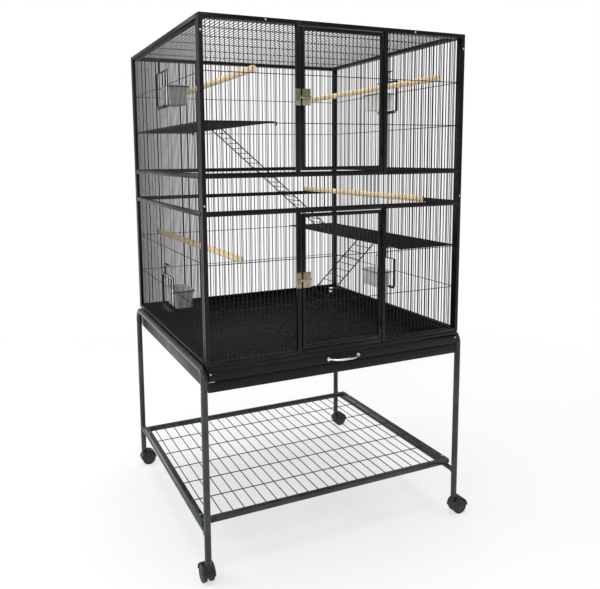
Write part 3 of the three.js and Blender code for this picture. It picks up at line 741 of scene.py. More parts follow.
@dataclass
class Shell:
    """The cage's wire panels and doors."""

    jig: Jig
    tube: float = 12
    tube_corner: float = 1.6
    wire: float = 2.4
    cross: float = 2.2
    pitch: float = 12.7
    embed: float = 3
    wire_in: float = 8.0
    top_wire_in: float = 4.0
    rail_high: float = 13.7
    rail_deep: float = 6.5
    door_tube: float = 10
    door_wire_in: float = 5.8
    doorway: Span = (282, 547.5)
    gap: float = 0.3
    cross_step: float = 128
    hole_half: float = 56
    hole_drop: float = 2
    hole_rise: float = 98
    rim: float = 4
    rim_in: float = 9.2
    rim_radius: float = 1.9
    staple_reach: float = 12
    staple_in: float = 3.2
    staple_radius: float = 1.5
    latch_half: float = 9
    latch_rise: float = 38
    hinge_half: float = 35
    hinge_drop: float = 6.2
    hinge_inset: float = 52
    knuckle_long: float = 14.0
    knuckle_radius: float = 3.1
    knuckle_bore: float = 1.75
    pin_radius: float = 1.4
    door_gaps: Span = (3.5, 2)
    cross_levels: list[float] = field(init=False)
    cross_in: float = field(init=False)
    rails: Span = field(init=False)

    def __post_init__(self) -> None:
        """Works out the levels of the cross wires and the heights of the rails."""
        step = self.cross_step
        low, high = self.jig.bottom + self.tube + 3, self.jig.top - self.tube
        self.cross_levels = [low + step, low + 2 * step, high - 2 * step, high - step]
        band = self.jig.box("front_middle_band")
        self.rails = (band[0].z, band[1].z - self.rail_high)
        self.cross_in = self.wire_in + self.wire / 2 + self.gap + self.cross / 2

    def at(self, face: Face, u: float, v: float, w: float) -> Vector:
        """A point on a face: across, up and inwards from the outside.

        Args:
            face: the side of the cage.
            u: how far across.
            v: how far up, or back on the top.
            w: how far in from the outside.

        Returns:
            The point.
        """
        width, depth, top = self.jig.width, self.jig.depth, self.jig.top
        return {
            Face.FRONT: Vector((u, w, v)),
            Face.BACK: Vector((u, depth - w, v)),
            Face.LEFT: Vector((w, u, v)),
            Face.RIGHT: Vector((width - w, u, v)),
            Face.TOP: Vector((u, v, top - w)),
        }[face]

    def block(self, stock: Stock, face: Face, a: Sequence[float], b: Sequence[float], corner: float) -> None:
        """A soft-edged block in a face's own directions."""
        stock.block(self.at(face, *a), self.at(face, *b), corner)

    def centres(self, low: float, high: float) -> list[float]:
        """Where evenly pitched wires stand between two limits.

        Args:
            low: where the run starts.
            high: where it ends.

        Returns:
            Each wire's centre.
        """
        count = math.floor((high - low) / self.pitch - 0.25)
        first = (low + high) / 2 - (count - 1) * self.pitch / 2
        return [first + i * self.pitch for i in range(count)]

    def around(self, spans: list[Span], hole: Span) -> list[Span]:
        """Cuts a hole out of a run of wire, reaching into the hole's rim.

        Args:
            spans: the runs of wire.
            hole: where the hole starts and ends.

        Returns:
            The runs that are left.
        """
        reach = self.rim / 2
        made = []
        for low, high in spans:
            if hole[0] > low and hole[1] < high:
                made += [(low, hole[0] - reach), (hole[1] + reach, high)]
            else:
                made.append((low, high))
        return made

    def uprights(self, stock: Stock, face: Face, area: Sequence[float], depth: float, holes: Sequence = ()) -> None:
        """The upright wires of a panel.

        Args:
            stock: the panel that they belong to.
            face: the side of the cage.
            area: left, right, bottom and top of the area they fill.
            depth: how far in they stand.
            holes: openings, each across and up.
        """
        u0, u1, v0, v1 = area
        for u in self.centres(u0, u1):
            spans = [(v0 - self.embed, v1 + self.embed)]
            for (h0, h1), hole_v in holes:
                if h0 - self.wire / 2 < u < h1 + self.wire / 2:
                    spans = self.around(spans, hole_v)
            for low, high in spans:
                stock.rod(self.at(face, u, low, depth), self.at(face, u, high, depth), self.wire / 2, 8)

    def crosses(
        self,
        stock: Stock,
        face: Face,
        area: Sequence[float],
        levels: Iterable[float],
        depth: float,
        holes: Sequence = (),
    ) -> None:
        """The cross wires of a panel, behind its uprights.

        Args:
            stock: the panel that they belong to.
            face: the side of the cage.
            area: left, right, bottom and top of the area they fill.
            levels: the height of each.
            depth: how far in they lie.
            holes: openings, each across and up.
        """
        u0, u1 = area[:2]
        for v in levels:
            spans = [(u0 - self.embed, u1 + self.embed)]
            for hole_u, (h0, h1) in holes:
                if h0 < v < h1:
                    spans = self.around(spans, hole_u)
            for low, high in spans:
                stock.rod(self.at(face, low, v, depth), self.at(face, high, v, depth), self.cross / 2, 8)

    def post(self, stock: Stock, face: Face, u: float, span: Span, size: float, split: bool) -> None:
        """A frame's post, whole or split between the mid rails, where a wire takes its place.

        Args:
            stock: the panel that it belongs to.
            face: the side of the cage.
            u: its low edge across the panel.
            span: its lowest and highest points.
            size: the tube's size.
            split: whether it stops at the mid rails.
        """
        if not split:
            self.block(stock, face, (u, span[0], 0), (u + size, span[1], size), self.tube_corner)
            return
        low, high = self.rails[0] + self.rail_high, self.rails[1]
        self.block(stock, face, (u, span[0], 0), (u + size, low, size), self.tube_corner)
        self.block(stock, face, (u, high, 0), (u + size, span[1], size), self.tube_corner)
        ends = [self.at(face, u + size / 2, z, self.wire_in) for z in (low - self.embed, high + self.embed)]
        stock.rod(ends[0], ends[1], self.wire / 2, 8)

    def tubes(
        self, stock: Stock, face: Face, area: Sequence[float], size: float, split: tuple[bool, bool] = (False, False)
    ) -> None:
        """The square tube frame round an area, its rails butted between its posts.

        Args:
            stock: the panel that it belongs to.
            face: the side of the cage.
            area: its left, right, bottom and top.
            size: the tube's size.
            split: whether its left and its right post stop at the mid rails.
        """
        u0, u1, v0, v1 = area
        corner = self.tube_corner
        self.post(stock, face, u0, (v0, v1), size, split[0])
        self.post(stock, face, u1 - size, (v0, v1), size, split[1])
        self.block(stock, face, (u0 + size - 0.8, v0, 0), (u1 - size + 0.8, v0 + size, size), corner)
        self.block(stock, face, (u0 + size - 0.8, v1 - size, 0), (u1 - size + 0.8, v1, size), corner)

    def mid_rails(self, stock: Stock, face: Face, u0: float, u1: float, deep: float) -> None:
        """The two heavier rails at half height.

        Args:
            stock: the panel that they belong to.
            face: the side of the cage.
            u0: where they start.
            u1: where they end.
            deep: how far in they reach.
        """
        for z in self.rails:
            self.block(stock, face, (u0, z, 0), (u1, z + self.rail_high, deep), self.tube_corner)

    def bay(
        self, stock: Stock, face: Face, u0: float, u1: float, split: tuple[bool, bool] = (False, False)
    ) -> None:
        """A full-height bay between two posts, either of which may be split at the mid rails.

        Args:
            stock: the panel that it belongs to.
            face: the side of the cage.
            u0: its left edge.
            u1: its right edge.
            split: whether its left and its right post stop at the mid rails.
        """
        low, high, size = self.jig.bottom, self.jig.top, self.tube
        self.tubes(stock, face, (u0, u1, low, high), size, split)
        inside = (u0 + size, u1 - size, low + size, high - size)
        self.uprights(stock, face, inside, self.wire_in)
        self.crosses(stock, face, inside, self.cross_levels, self.cross_in)
        self.mid_rails(stock, face, u0 + size - 1, u1 - size + 1, self.rail_deep)

    def holes(self, side: str) -> list[tuple[Span, Span]]:
        """The feeder openings of a side, across and up.

        Args:
            side: "left" or "right".

        Returns:
            Each opening, across and up.
        """
        made = []
        for level in ("lower", "upper"):
            low, high = self.jig.box(f"{side}_{level}_feeder_cup")
            middle = (low.y + high.y) / 2
            across = (middle - self.hole_half, middle + self.hole_half)
            made.append((across, (low.z - self.hole_drop, low.z + self.hole_rise)))
        return made

    def side(self, face: Face) -> None:
        """A side panel with its two feeder openings and the rods that the feeders hang on.

        Args:
            face: the side of the cage.
        """
        side, stock, size = face.value, Stock(), self.tube
        low, high = self.jig.bottom, self.jig.top
        area = (size + self.gap, self.jig.depth - size - self.gap, low, high)
        inside = (area[0] + size, area[1] - size, low + size, high - size)
        holes = self.holes(side)
        self.tubes(stock, face, area, size)
        self.uprights(stock, face, inside, self.wire_in, holes)
        self.crosses(stock, face, inside, self.cross_levels, self.cross_in, holes)
        self.mid_rails(stock, face, area[0] + 2, area[1] - 2, self.rail_deep)
        for (u0, u1), (v0, v1) in holes:
            half, middle = self.rim / 2, (u0 + u1) / 2
            self.hole_rim(stock, face, (u0 - half, u1 + half, v0 - half, v1 + half))
            self.pivot_rod(stock, face, middle, v1 + self.latch_rise, self.latch_half + self.staple_reach)
            self.pivot_rod(stock, face, middle, v0 - self.hinge_drop, self.hinge_half + self.staple_reach)
        self.jig.piece(stock, f"{side}_wire_panel", "cage", BLACK_ENAMEL, [f"{side}_panel"])

    def hole_rim(self, stock: Stock, face: Face, area: Sequence[float]) -> None:
        """A ring of wire round a feeder opening.

        Args:
            stock: the panel that it belongs to.
            face: the side of the cage.
            area: its left, right, bottom and top.
        """
        u0, u1, v0, v1 = area
        corners = [self.at(face, u, v, self.rim_in) for u, v in ((u0, v0), (u1, v0), (u1, v1), (u0, v1))]
        for a, b in zip(corners, corners[1:] + corners[:1]):
            reach = (b - a).normalized() * 1.6
            stock.rod(a - reach, b + reach, self.rim_radius, 10, 0.6)

    def pivot_rod(self, stock: Stock, face: Face, middle: float, z: float, reach: float) -> None:
        """A staple of wire that a feeder door or its latch turns on.

        Args:
            stock: the panel that it belongs to.
            face: the side of the cage.
            middle: its middle across.
            z: its height.
            reach: half its length.
        """
        out, inner = self.staple_in, self.wire_in
        ends = [(middle - reach, inner), (middle - reach, out), (middle + reach, out), (middle + reach, inner)]
        route = Route([self.at(face, u, z, w) for u, w in ends], 2.2, 4)
        stock.bent(route, round_section(self.staple_radius, 10))
        tie = (middle - reach - self.pitch, middle + reach + self.pitch)
        stock.rod(self.at(face, tie[0], z, inner), self.at(face, tie[1], z, inner), 1.1, 8)

    def front(self) -> None:
        """The front's two bays, the band between the doors, and the doorway's head and sill."""
        jig, size = self.jig, self.tube
        left, right = Stock(), Stock()
        self.bay(left, Face.FRONT, 0, self.doorway[0], (False, True))
        jig.piece(left, "left_front_panel", "cage", BLACK_ENAMEL, ["front_left_bay"])
        self.bay(right, Face.FRONT, self.doorway[1], jig.width, (True, False))
        below = self.knuckle_long + self.gap
        for door in ("upper", "lower"):
            for z in self.hinge_heights(door):
                self.knuckle(right, door, z - self.knuckle_long / 2 - below, 1)
        jig.piece(right, "right_front_panel", "cage", BLACK_ENAMEL, ["front_right_bay"])
        low, high = jig.box("front_middle_band")
        band = Stock()
        self.mid_rails(band, Face.FRONT, low.x, high.x, size)
        inside = (low.x, high.x, low.z + self.rail_high, high.z - self.rail_high)
        self.uprights(band, Face.FRONT, inside, self.wire_in)
        jig.piece(band, "middle_front_panel", "cage", BLACK_ENAMEL, ["front_middle_band"])
        for node in ("door_header", "door_sill"):
            bar = Stock()
            bar.block(*jig.box(node), self.tube_corner)
            jig.piece(bar, f"{node}_tube", "cage", BLACK_ENAMEL, [node])

    def back_and_top(self) -> None:
        """The back panel and the top panel."""
        back, top, size = Stock(), Stock(), self.tube
        self.bay(back, Face.BACK, 0, self.jig.width)
        self.jig.piece(back, "back_wire_panel", "cage", BLACK_ENAMEL, ["back_panel"])
        low, high = self.jig.box("top_panel")
        area = (low.x, high.x, low.y, high.y)
        inside = (low.x + size, high.x - size, low.y + size, high.y - size)
        self.tubes(top, Face.TOP, area, size)
        self.uprights(top, Face.TOP, inside, self.top_wire_in)
        levels = [self.jig.depth / 2 + step * self.cross_step for step in (-2, -1, 0, 1, 2)]
        depth = self.top_wire_in + self.wire / 2 + self.gap + self.cross / 2
        self.crosses(top, Face.TOP, inside, levels, depth)
        self.jig.piece(top, "top_wire_panel", "cage", BLACK_ENAMEL, ["top_panel"])

    def hinge_axis(self, door: str) -> Vector:
        """A point on a door's hinge axis."""
        return self.jig.point(joint(f"{door}_door_hinge")["pos_m"])

    def door_span(self, door: str) -> Span:
        """A door's lowest and highest edges."""
        low, high = self.jig.box(f"{door}_door")
        return low.z, high.z

    def hinge_heights(self, door: str) -> tuple[float, float]:
        """The middles of a door's two hinges."""
        low, high = self.door_span(door)
        return low + self.hinge_inset, high - self.hinge_inset

    def knuckle(self, stock: Stock, door: str, z: float, side: int) -> None:
        """A hinge knuckle with its leaf.

        Args:
            stock: the piece that it belongs to.
            door: the door that it serves.
            z: its lower end.
            side: 1 for the leaf on the post, -1 for the leaf on the door.
        """
        axis = self.hinge_axis(door)
        long, outer, bore = self.knuckle_long, self.knuckle_radius, self.knuckle_bore
        end = [(0.4, outer), (0, outer - 0.4), (0, bore)]
        profile = [*end[::-1], *[(long - distance, radius) for distance, radius in end]]
        stock.turned(Vector((axis.x, axis.y, z)), UP, profile, 20, True)
        x0 = axis.x + side * 1.2
        stock.block((x0, -1.2, z), (x0 + side * 8.5, 0.4, z + long), 0.5)
        neck = (axis.x + side * 1.6, axis.y + 0.6, z), (axis.x + side * 2.9, -0.4, z + long)
        stock.block(*neck, 0.3)
        for height in (3.5, long - 3.5):
            head = Vector((x0 + side * 5.2, -1.1, z + height))
            stock.turned(head, TO_FRONT, [(0, 1.7), (0.35, 1.6), (0.7, 1.0), (0.8, 0.3)], 14)

    def door(self, name: str) -> None:
        """A door with its hinge knuckles, and the long pin that both hinges share.

        Args:
            name: "upper" or "lower".
        """
        jig, size = self.jig, self.door_tube
        low, high = self.door_span(name)
        u0, u1 = self.doorway[0] + self.door_gaps[0], self.doorway[1] - self.door_gaps[1]
        stock = Stock()
        self.tubes(stock, Face.FRONT, (u0, u1, low, high), size)
        inside = (u0 + size, u1 - size, low + size, high - size)
        self.uprights(stock, Face.FRONT, inside, self.door_wire_in)
        levels = [z for z in self.cross_levels if low < z < high]
        self.crosses(stock, Face.FRONT, inside, levels, self.door_wire_in + 2.6)
        for z in self.hinge_heights(name):
            self.knuckle(stock, name, z - self.knuckle_long / 2, -1)
        jig.piece(stock, f"{name}_wire_door", f"{name}_door_leaf", BLACK_ENAMEL, [f"{name}_door"])
        pin, axis = Stock(), self.hinge_axis(name)
        bottom, top = jig.box(f"{name}_door_hinge_pin")
        long = top.z - bottom.z
        profile = [(0, 0.8), (0.5, self.pin_radius), (long - 0.5, self.pin_radius), (long, 0.8)]
        pin.turned(Vector((axis.x, axis.y, bottom.z)), UP, profile, 16)
        jig.piece(pin, f"{name}_hinge_rod", "cage", BLACK_WIRE, [f"{name}_door_hinge_pin"])

    def build(self) -> None:
        """Makes the whole shell."""
        self.front()
        self.back_and_top()
        self.side(Face.LEFT)
        self.side(Face.RIGHT)
        self.door("upper")
        self.door("lower")


def screw_head(stock: Stock, spot: Vector, out: Vector, radius: float = 3.2, rise: float = 1.6) -> None:
    """A domed screw head with a round socket in its crown.

    Args:
        stock: the piece that it belongs to.
        spot: the middle of its seat.
        out: the way that it faces.
        radius: its radius.
        rise: how far it stands out.
    """
    seat = [(-0.2, radius), (rise * 0.25, radius), (rise * 0.65, radius * 0.86), (rise * 0.95, radius * 0.6)]
    socket = [(rise, radius * 0.42), (rise * 0.98, radius * 0.36), (rise * 0.5, radius * 0.3)]
    stock.turned(spot, out, seat + socket, 20)


# ---------------------------------------------------------------- latches


@dataclass
class Latch:
    """A door's latch: a plate and pivot, a swinging lever and a keeper."""

    jig: Jig
    door: str
    sheet: float = 1.2
    pin: float = 2.0
    hub: float = 7.0
    arm_half: float = 3.9
    nose_half: float = 3.2
    screw: float = 3.1

    def plate(self, low: Vector, high: Vector, back: float) -> Stock:
        """A plate with a domed screw below and a flush one above, where the lever swings past.

        Args:
            low: the plate's lowest corner.
            high: the plate's highest corner.
            back: where its back face lies.

        Returns:
            The plate.
        """
        stock = Stock()
        stock.block((low.x, back, low.z), (high.x, back - self.sheet, high.z), 0.9)
        middle = (low.x + high.x) / 2
        for z, rise in ((low.z + 4.6, 1.7), (high.z - 5.2, 0.3)):
            screw_head(stock, Vector((middle, back - self.sheet, z)), TO_FRONT, self.screw, rise)
        return stock

    def build(self) -> None:
        """Makes the latch's three pieces."""
        jig, name = self.jig, self.door
        pivot = jig.point(joint(f"{name}_door_latch_pivot")["pos_m"])
        low, high = jig.box(f"{name}_latch_base")
        base = self.plate(low, high, high.y)
        head = low.y - high.y
        steps = [(-1.0, self.pin), (-head - 1.2, self.pin), (-head - 1.2, 3.6), (-head - 0.5, 4.0), (-head, 3.0)]
        base.turned(Vector((pivot.x, high.y, pivot.z)), TO_FRONT, steps, 24)
        jig.piece(base, f"{name}_latch_plate", f"{name}_door_leaf", ZINC, [f"{name}_latch_base"])
        self.lever(pivot)
        self.keeper(pivot)

    def lever(self, pivot: Vector) -> None:
        """The lever: a hub, a tapering arm and a turned-out thumb tab.

        Args:
            pivot: a point on the axis that it turns on.
        """
        jig, name, stock = self.jig, self.door, Stock()
        low, high = jig.box(f"{name}_latch_lever")
        thick = high.y - low.y
        bore = self.pin + 0.3
        hub, half, z = self.hub, self.arm_half, pivot.z
        profile = [(0, bore), (0, hub - 0.4), (0.4, hub), (thick - 0.4, hub), (thick, hub - 0.4), (thick, bore)]
        stock.turned(Vector((pivot.x, high.y, z)), TO_FRONT, profile, 32, True)
        stock.block((low.x, low.y + 0.2, z - half), (pivot.x - 3.6, high.y - 0.2, z + half), 0.9)
        stock.block((low.x, low.y, z - self.nose_half), (low.x + 5, high.y, z + self.nose_half), 1.1)
        stock.block((pivot.x + 3.6, low.y + 0.2, z - half), (high.x - 0.2, high.y - 0.2, z + half), 0.9)
        for x in (high.x - 4.4, high.x - 2.6, high.x - 0.8):
            stock.rod(Vector((x, low.y + 0.25, z - 3.4)), Vector((x, low.y + 0.25, z + 3.4)), 0.5, 8)
        jig.piece(stock, f"{name}_latch_arm", f"{name}_door_lever", ZINC, [f"{name}_latch_lever"])

    def keeper(self, pivot: Vector) -> None:
        """The keeper: a plate whose hooked lip holds the lever down and in.

        Args:
            pivot: a point on the lever's axis.
        """
        jig, name = self.jig, self.door
        low, high = jig.box(f"{name}_latch_keeper")
        stock = self.plate(low, high, high.y)
        seat = pivot.z - 4.4 - self.sheet / 2
        x0, x1 = low.x + 3, high.x - 3
        out = low.y + self.sheet / 2
        corners = [(high.y - 1.0, seat), (out, seat), (out, pivot.z + 2)]
        route = Route([Vector(((x0 + x1) / 2, y, z)) for y, z in corners], 0.9, 5)
        stock.bent(route, [(y, x) for x, y in square_section(self.sheet, x1 - x0, 0.5)])
        jig.piece(stock, f"{name}_latch_hook", "cage", ZINC, [f"{name}_latch_keeper"])


# ---------------------------------------------------------------- feeders


@dataclass
class Feeder:
    """A side feeder: a wire door that tips out, the cup it carries and the latch above it."""

    jig: Jig
    shell: Shell
    face: Face
    level: str
    wall: float = 2.0
    door_in: float = 3.2
    half: float = 56
    tall: float = 100
    frame_radius: float = 1.5
    bar_radius: float = 1.1
    barrel_bore: float = 1.75
    barrel_radius: float = 3.05
    loop_radius: float = 3.0
    hoop_half: float = 53.7
    hoop_rise: float = 55.4
    hoop_reach: float = 77.6
    hoop_radius: float = 1.25
    loop_half: float = 6.5
    middle: float = field(init=False)
    base: float = field(init=False)

    @property
    def name(self) -> str:
        """The feeder's own name."""
        return f"{self.face.value}_{self.level}_feeder"

    def build(self) -> None:
        """Makes the feeder's pieces."""
        cup_low, cup_high = self.jig.box(f"{self.name}_cup")
        self.middle = (cup_low.y + cup_high.y) / 2
        self.base = cup_low.z - self.shell.hole_drop
        self.door()
        self.cup()
        self.latch()

    def at(self, u: float, v: float, w: float) -> Vector:
        """A point from the opening's middle across, its sill up and the panel's outside in."""
        return self.shell.at(self.face, self.middle + u, self.base + v, w)

    def door(self) -> None:
        """The door: a bent wire frame with uprights, a barrel below and a hoop for the cup."""
        stock, w = Stock(), self.door_in
        half, tall = self.half, self.tall
        corners = [(-half, 0), (half, 0), (half, tall), (-half, tall)]
        for (u0, v0), (u1, v1) in zip(corners, corners[1:] + corners[:1]):
            a, b = self.at(u0, v0, w), self.at(u1, v1, w)
            reach = (b - a).normalized() * 1.7
            stock.rod(a - reach, b + reach, self.frame_radius, 12, 0.7)
        for u in self.shell.centres(2 - half, half - 2):
            stock.rod(self.at(u, 0, w), self.at(u, tall, w), self.bar_radius, 8)
        for u in (-25, 25):
            route = Route([self.at(u, 0.5, w), self.at(u, -3.2, w)], 1)
            stock.bent(route, round_section(1.4, 8))
        self.barrel(stock, -self.shell.hinge_drop, self.shell.hinge_half, self.barrel_radius, 0.25)
        hoop = [(-1, w), (-1, self.hoop_reach), (1, self.hoop_reach), (1, w)]
        route = Route([self.at(way * self.hoop_half, self.hoop_rise, depth) for way, depth in hoop], 5, 5)
        stock.bent(route, round_section(self.hoop_radius, 10))
        self.jig.piece(stock, f"{self.name}_wire_door", self.name, BLACK_WIRE, [f"{self.name}_door"])

    def barrel(self, stock: Stock, rise: float, half: float, radius: float, chamfer: float) -> None:
        """A sleeve that turns on one of the panel's staples.

        Args:
            stock: the piece that it belongs to.
            rise: its height over the opening's sill.
            half: half its length.
            radius: its outside radius.
            chamfer: how much its rims are taken down.
        """
        long, bore, w = 2 * half, self.barrel_bore, self.door_in
        end = [(0, bore), (0, radius - chamfer), (0.3, radius)]
        profile = [*end, *[(long - distance, r) for distance, r in reversed(end)]]
        start, stop = self.at(-half, rise, w), self.at(half, rise, w)
        stock.turned(start, stop - start, profile, 16, True)

    def cup(self) -> None:
        """The cup: a tapered box with round corners and a rolled rim."""
        stock = Stock()
        low, high = self.jig.box(f"{self.name}_cup")
        middle = (low + high) / 2
        size = high - low
        tall = size.z

        def ring(z: float, inset: float, corner: float) -> Ring:
            """A rounded rectangle at one height, inset from the rim.

            Args:
                z: its height over the base.
                inset: how far it stands in from the rim.
                corner: the radius of its corners.

            Returns:
                The ring.
            """
            section = square_section(size.x - 2 * inset, size.y - 2 * inset, corner, 6)
            return [Vector((middle.x + x, middle.y + y, low.z + z)) for x, y in section]

        wall = self.wall
        foot = [ring(0, 8.2, 6), ring(1.2, 6.6, 7), ring(4, 5.9, 8)]
        collar = [ring(tall - 5, 3.4, 9), ring(tall - 3.2, 3.2, 9)]
        rim = [ring(tall - 2.8, 0.6, 9), ring(tall - 2.2, 0, 9.6), ring(tall - 0.6, 0, 9.6), ring(tall, 0.7, 9)]
        mouth = [ring(tall, 3.2, 8), ring(tall - 1.4, 4.6, 8)]
        floor = [ring(5, 5.9 + wall, 7), ring(wall + 0.6, 8.2 + wall, 6)]
        stock.loft([*foot, *collar, *rim, *mouth, *floor])
        self.jig.piece(stock, f"{self.name}_dish", self.name, CUP_PLASTIC, [f"{self.name}_cup"], 50)

    def latch(self) -> None:
        """The latch: a barrel with a loop of wire whose foot curls out as a finger tab."""
        stock = Stock()
        top = self.tall + self.shell.latch_rise
        self.barrel(stock, top, self.shell.latch_half, self.loop_radius, 0.3)
        out = -self.loop_half
        legs = [(out, top - 1.4, 1.6), (out, top - 4.5, 0.2), (out, 97.8, 0.2), (out, 97.4, -4.0)]
        loop = [*legs, *[(-u, v, depth) for u, v, depth in reversed(legs)]]
        route = Route([self.at(u, v, depth) for u, v, depth in loop], 0.35, 4)
        stock.bent(route, round_section(0.75, 8), 0.1)
        stock.rod(self.at(out, 116, 0.2), self.at(-out, 116, 0.2), 0.7, 8)
        latch = f"{self.name}_latch"
        self.jig.piece(stock, f"{latch}_loop", f"{latch}_strap", BLACK_WIRE, [latch])


# ---------------------------------------------------------------- furniture


@dataclass
class Furniture:
    """What stands inside the cage: perches, platforms and ladders."""

    jig: Jig
    perch_radius: float = 9.5
    mesh_pitch: float = 6.0
    mesh_wire: float = 1.3
    rim_radius: float = 1.9
    rim_in: float = 6
    margin: float = 4
    hook_reach: float = 9
    hook_radius: float = 1.4
    rail_radius: float = 1.9
    rail_bend: float = 4
    rung_radius: float = 1.2
    rung_pitch: float = 25.4

    def perch(self, node: str, ends: Span) -> None:
        """A dowel with a groove near each end for the cage wires.

        Args:
            node: the solid it stands for.
            ends: how far right its front end and its back end lie.
        """
        low, high = self.jig.box(node)
        r = self.perch_radius
        z = (low.z + high.z) / 2
        a, b = Vector((ends[0], low.y + 0.3, z)), Vector((ends[1], high.y - 0.3, z))
        long = (b - a).length
        body, groove = r - 0.1, r - 1.3
        start = [(0, r - 1.4), (1.2, r - 0.4), (2.0, body), (7.5, body), (8.2, groove), (10.8, groove), (11.5, body)]
        middle = [(long * share, body - 0.25 * math.sin(9 * share) ** 2) for share in (0.2, 0.4, 0.6, 0.8)]
        finish = [(long - distance, radius) for distance, radius in reversed(start)]
        stock = Stock()
        stock.turned(a, b - a, [*start, *middle, *finish], 28)
        self.jig.piece(stock, f"{node}_dowel", "cage", PINE, [node], 30)

    def platform(self, node: str, hooks_right: bool) -> None:
        """A rim of bent wire filled with fine mesh, with hooks at one edge.

        Args:
            node: the solid it stands for.
            hooks_right: whether the hooks are at its right edge.
        """
        low, high = self.jig.box(node)
        stock = Stock()
        z = (low.z + high.z) / 2
        r = self.rim_radius
        y0, y1 = low.y + self.rim_in, high.y - self.rim_in
        corners = [(low.x + r, y0), (high.x - r, y0), (high.x - r, y1), (low.x + r, y1)]
        for (xa, ya), (xb, yb) in zip(corners, corners[1:] + corners[:1]):
            a, b = Vector((xa, ya, z)), Vector((xb, yb, z))
            reach = (b - a).normalized() * 1.5
            stock.rod(a - reach, b + reach, r, 12, 0.8)
        fine = self.mesh_wire / 2
        wide = high.x - low.x - 2 * self.margin
        count = int(wide / self.mesh_pitch)
        for i in range(1, count + 1):
            x = low.x + self.margin + i * wide / (count + 1)
            stock.rod(Vector((x, y0, z + 0.6)), Vector((x, y1, z + 0.6)), fine, 6, 0.1)
        count = int((y1 - y0) / self.mesh_pitch)
        for i in range(1, count + 1):
            y = y0 + i * (y1 - y0) / (count + 1)
            stock.rod(Vector((low.x + r, y, z - 0.5)), Vector((high.x - r, y, z - 0.5)), fine, 6, 0.1)
        edge, way = (high.x - r, 1) if hooks_right else (low.x + r, -1)
        out = self.hook_reach
        for y in (y0 + 3, y1 - 3):
            hook = [(0, 0), (out, 0), (out, -out), (out / 2, -out)]
            route = Route([Vector((edge + way * x, y, z + rise)) for x, rise in hook], 2.4, 5)
            stock.bent(route, round_section(self.hook_radius, 10))
        self.jig.piece(stock, f"{node}_mesh", "cage", MESH_BLACK, [node])

    def ladder(self, node: str, down_right: bool) -> None:
        """Two wire rails, hooked at the top, with rungs between them.

        Args:
            node: the solid it stands for.
            down_right: whether it goes down to the right.
        """
        low, high = self.jig.box(node)
        stock = Stock()
        r = 2.0
        y0, y1 = low.y + r, high.y - r
        way = 1 if down_right else -1
        near, far = (low.x, high.x) if down_right else (high.x, low.x)
        hook = Vector((near + way * 0.5, 0, high.z - r))
        knee = Vector((near + way * 13.5, 0, high.z - r))
        foot = Vector((far - way * 2.2, 0, low.z + 2.4))
        for y in (y0, y1):
            offset = Vector((0, y, 0))
            route = Route([hook + offset, knee + offset, foot + offset], self.rail_bend, 5)
            stock.bent(route, round_section(self.rail_radius, 10))
        slope = foot - knee
        count = int(slope.length / self.rung_pitch)
        for i in range(1, count):
            spot = knee + slope * (i / count)
            stock.rod(spot + Vector((0, y0, 0)), spot + Vector((0, y1, 0)), self.rung_radius, 8)
        self.jig.piece(stock, f"{node}_wires", "cage", MESH_BLACK, [node])

    def build(self) -> None:
        """Makes all the furniture."""
        for node, rising in (
            ("upper_left_perch", True),
            ("upper_right_perch", False),
            ("middle_right_perch", True),
            ("lower_left_perch", False),
        ):
            low, high = self.jig.box(node)
            ends = (low.x + self.perch_radius, high.x - self.perch_radius)
            self.perch(node, ends if rising else ends[::-1])
        self.platform("upper_platform", True)
        self.platform("lower_platform", False)
        self.ladder("upper_ladder", True)
        self.ladder("lower_ladder", False)


# ---------------------------------------------------------------- base


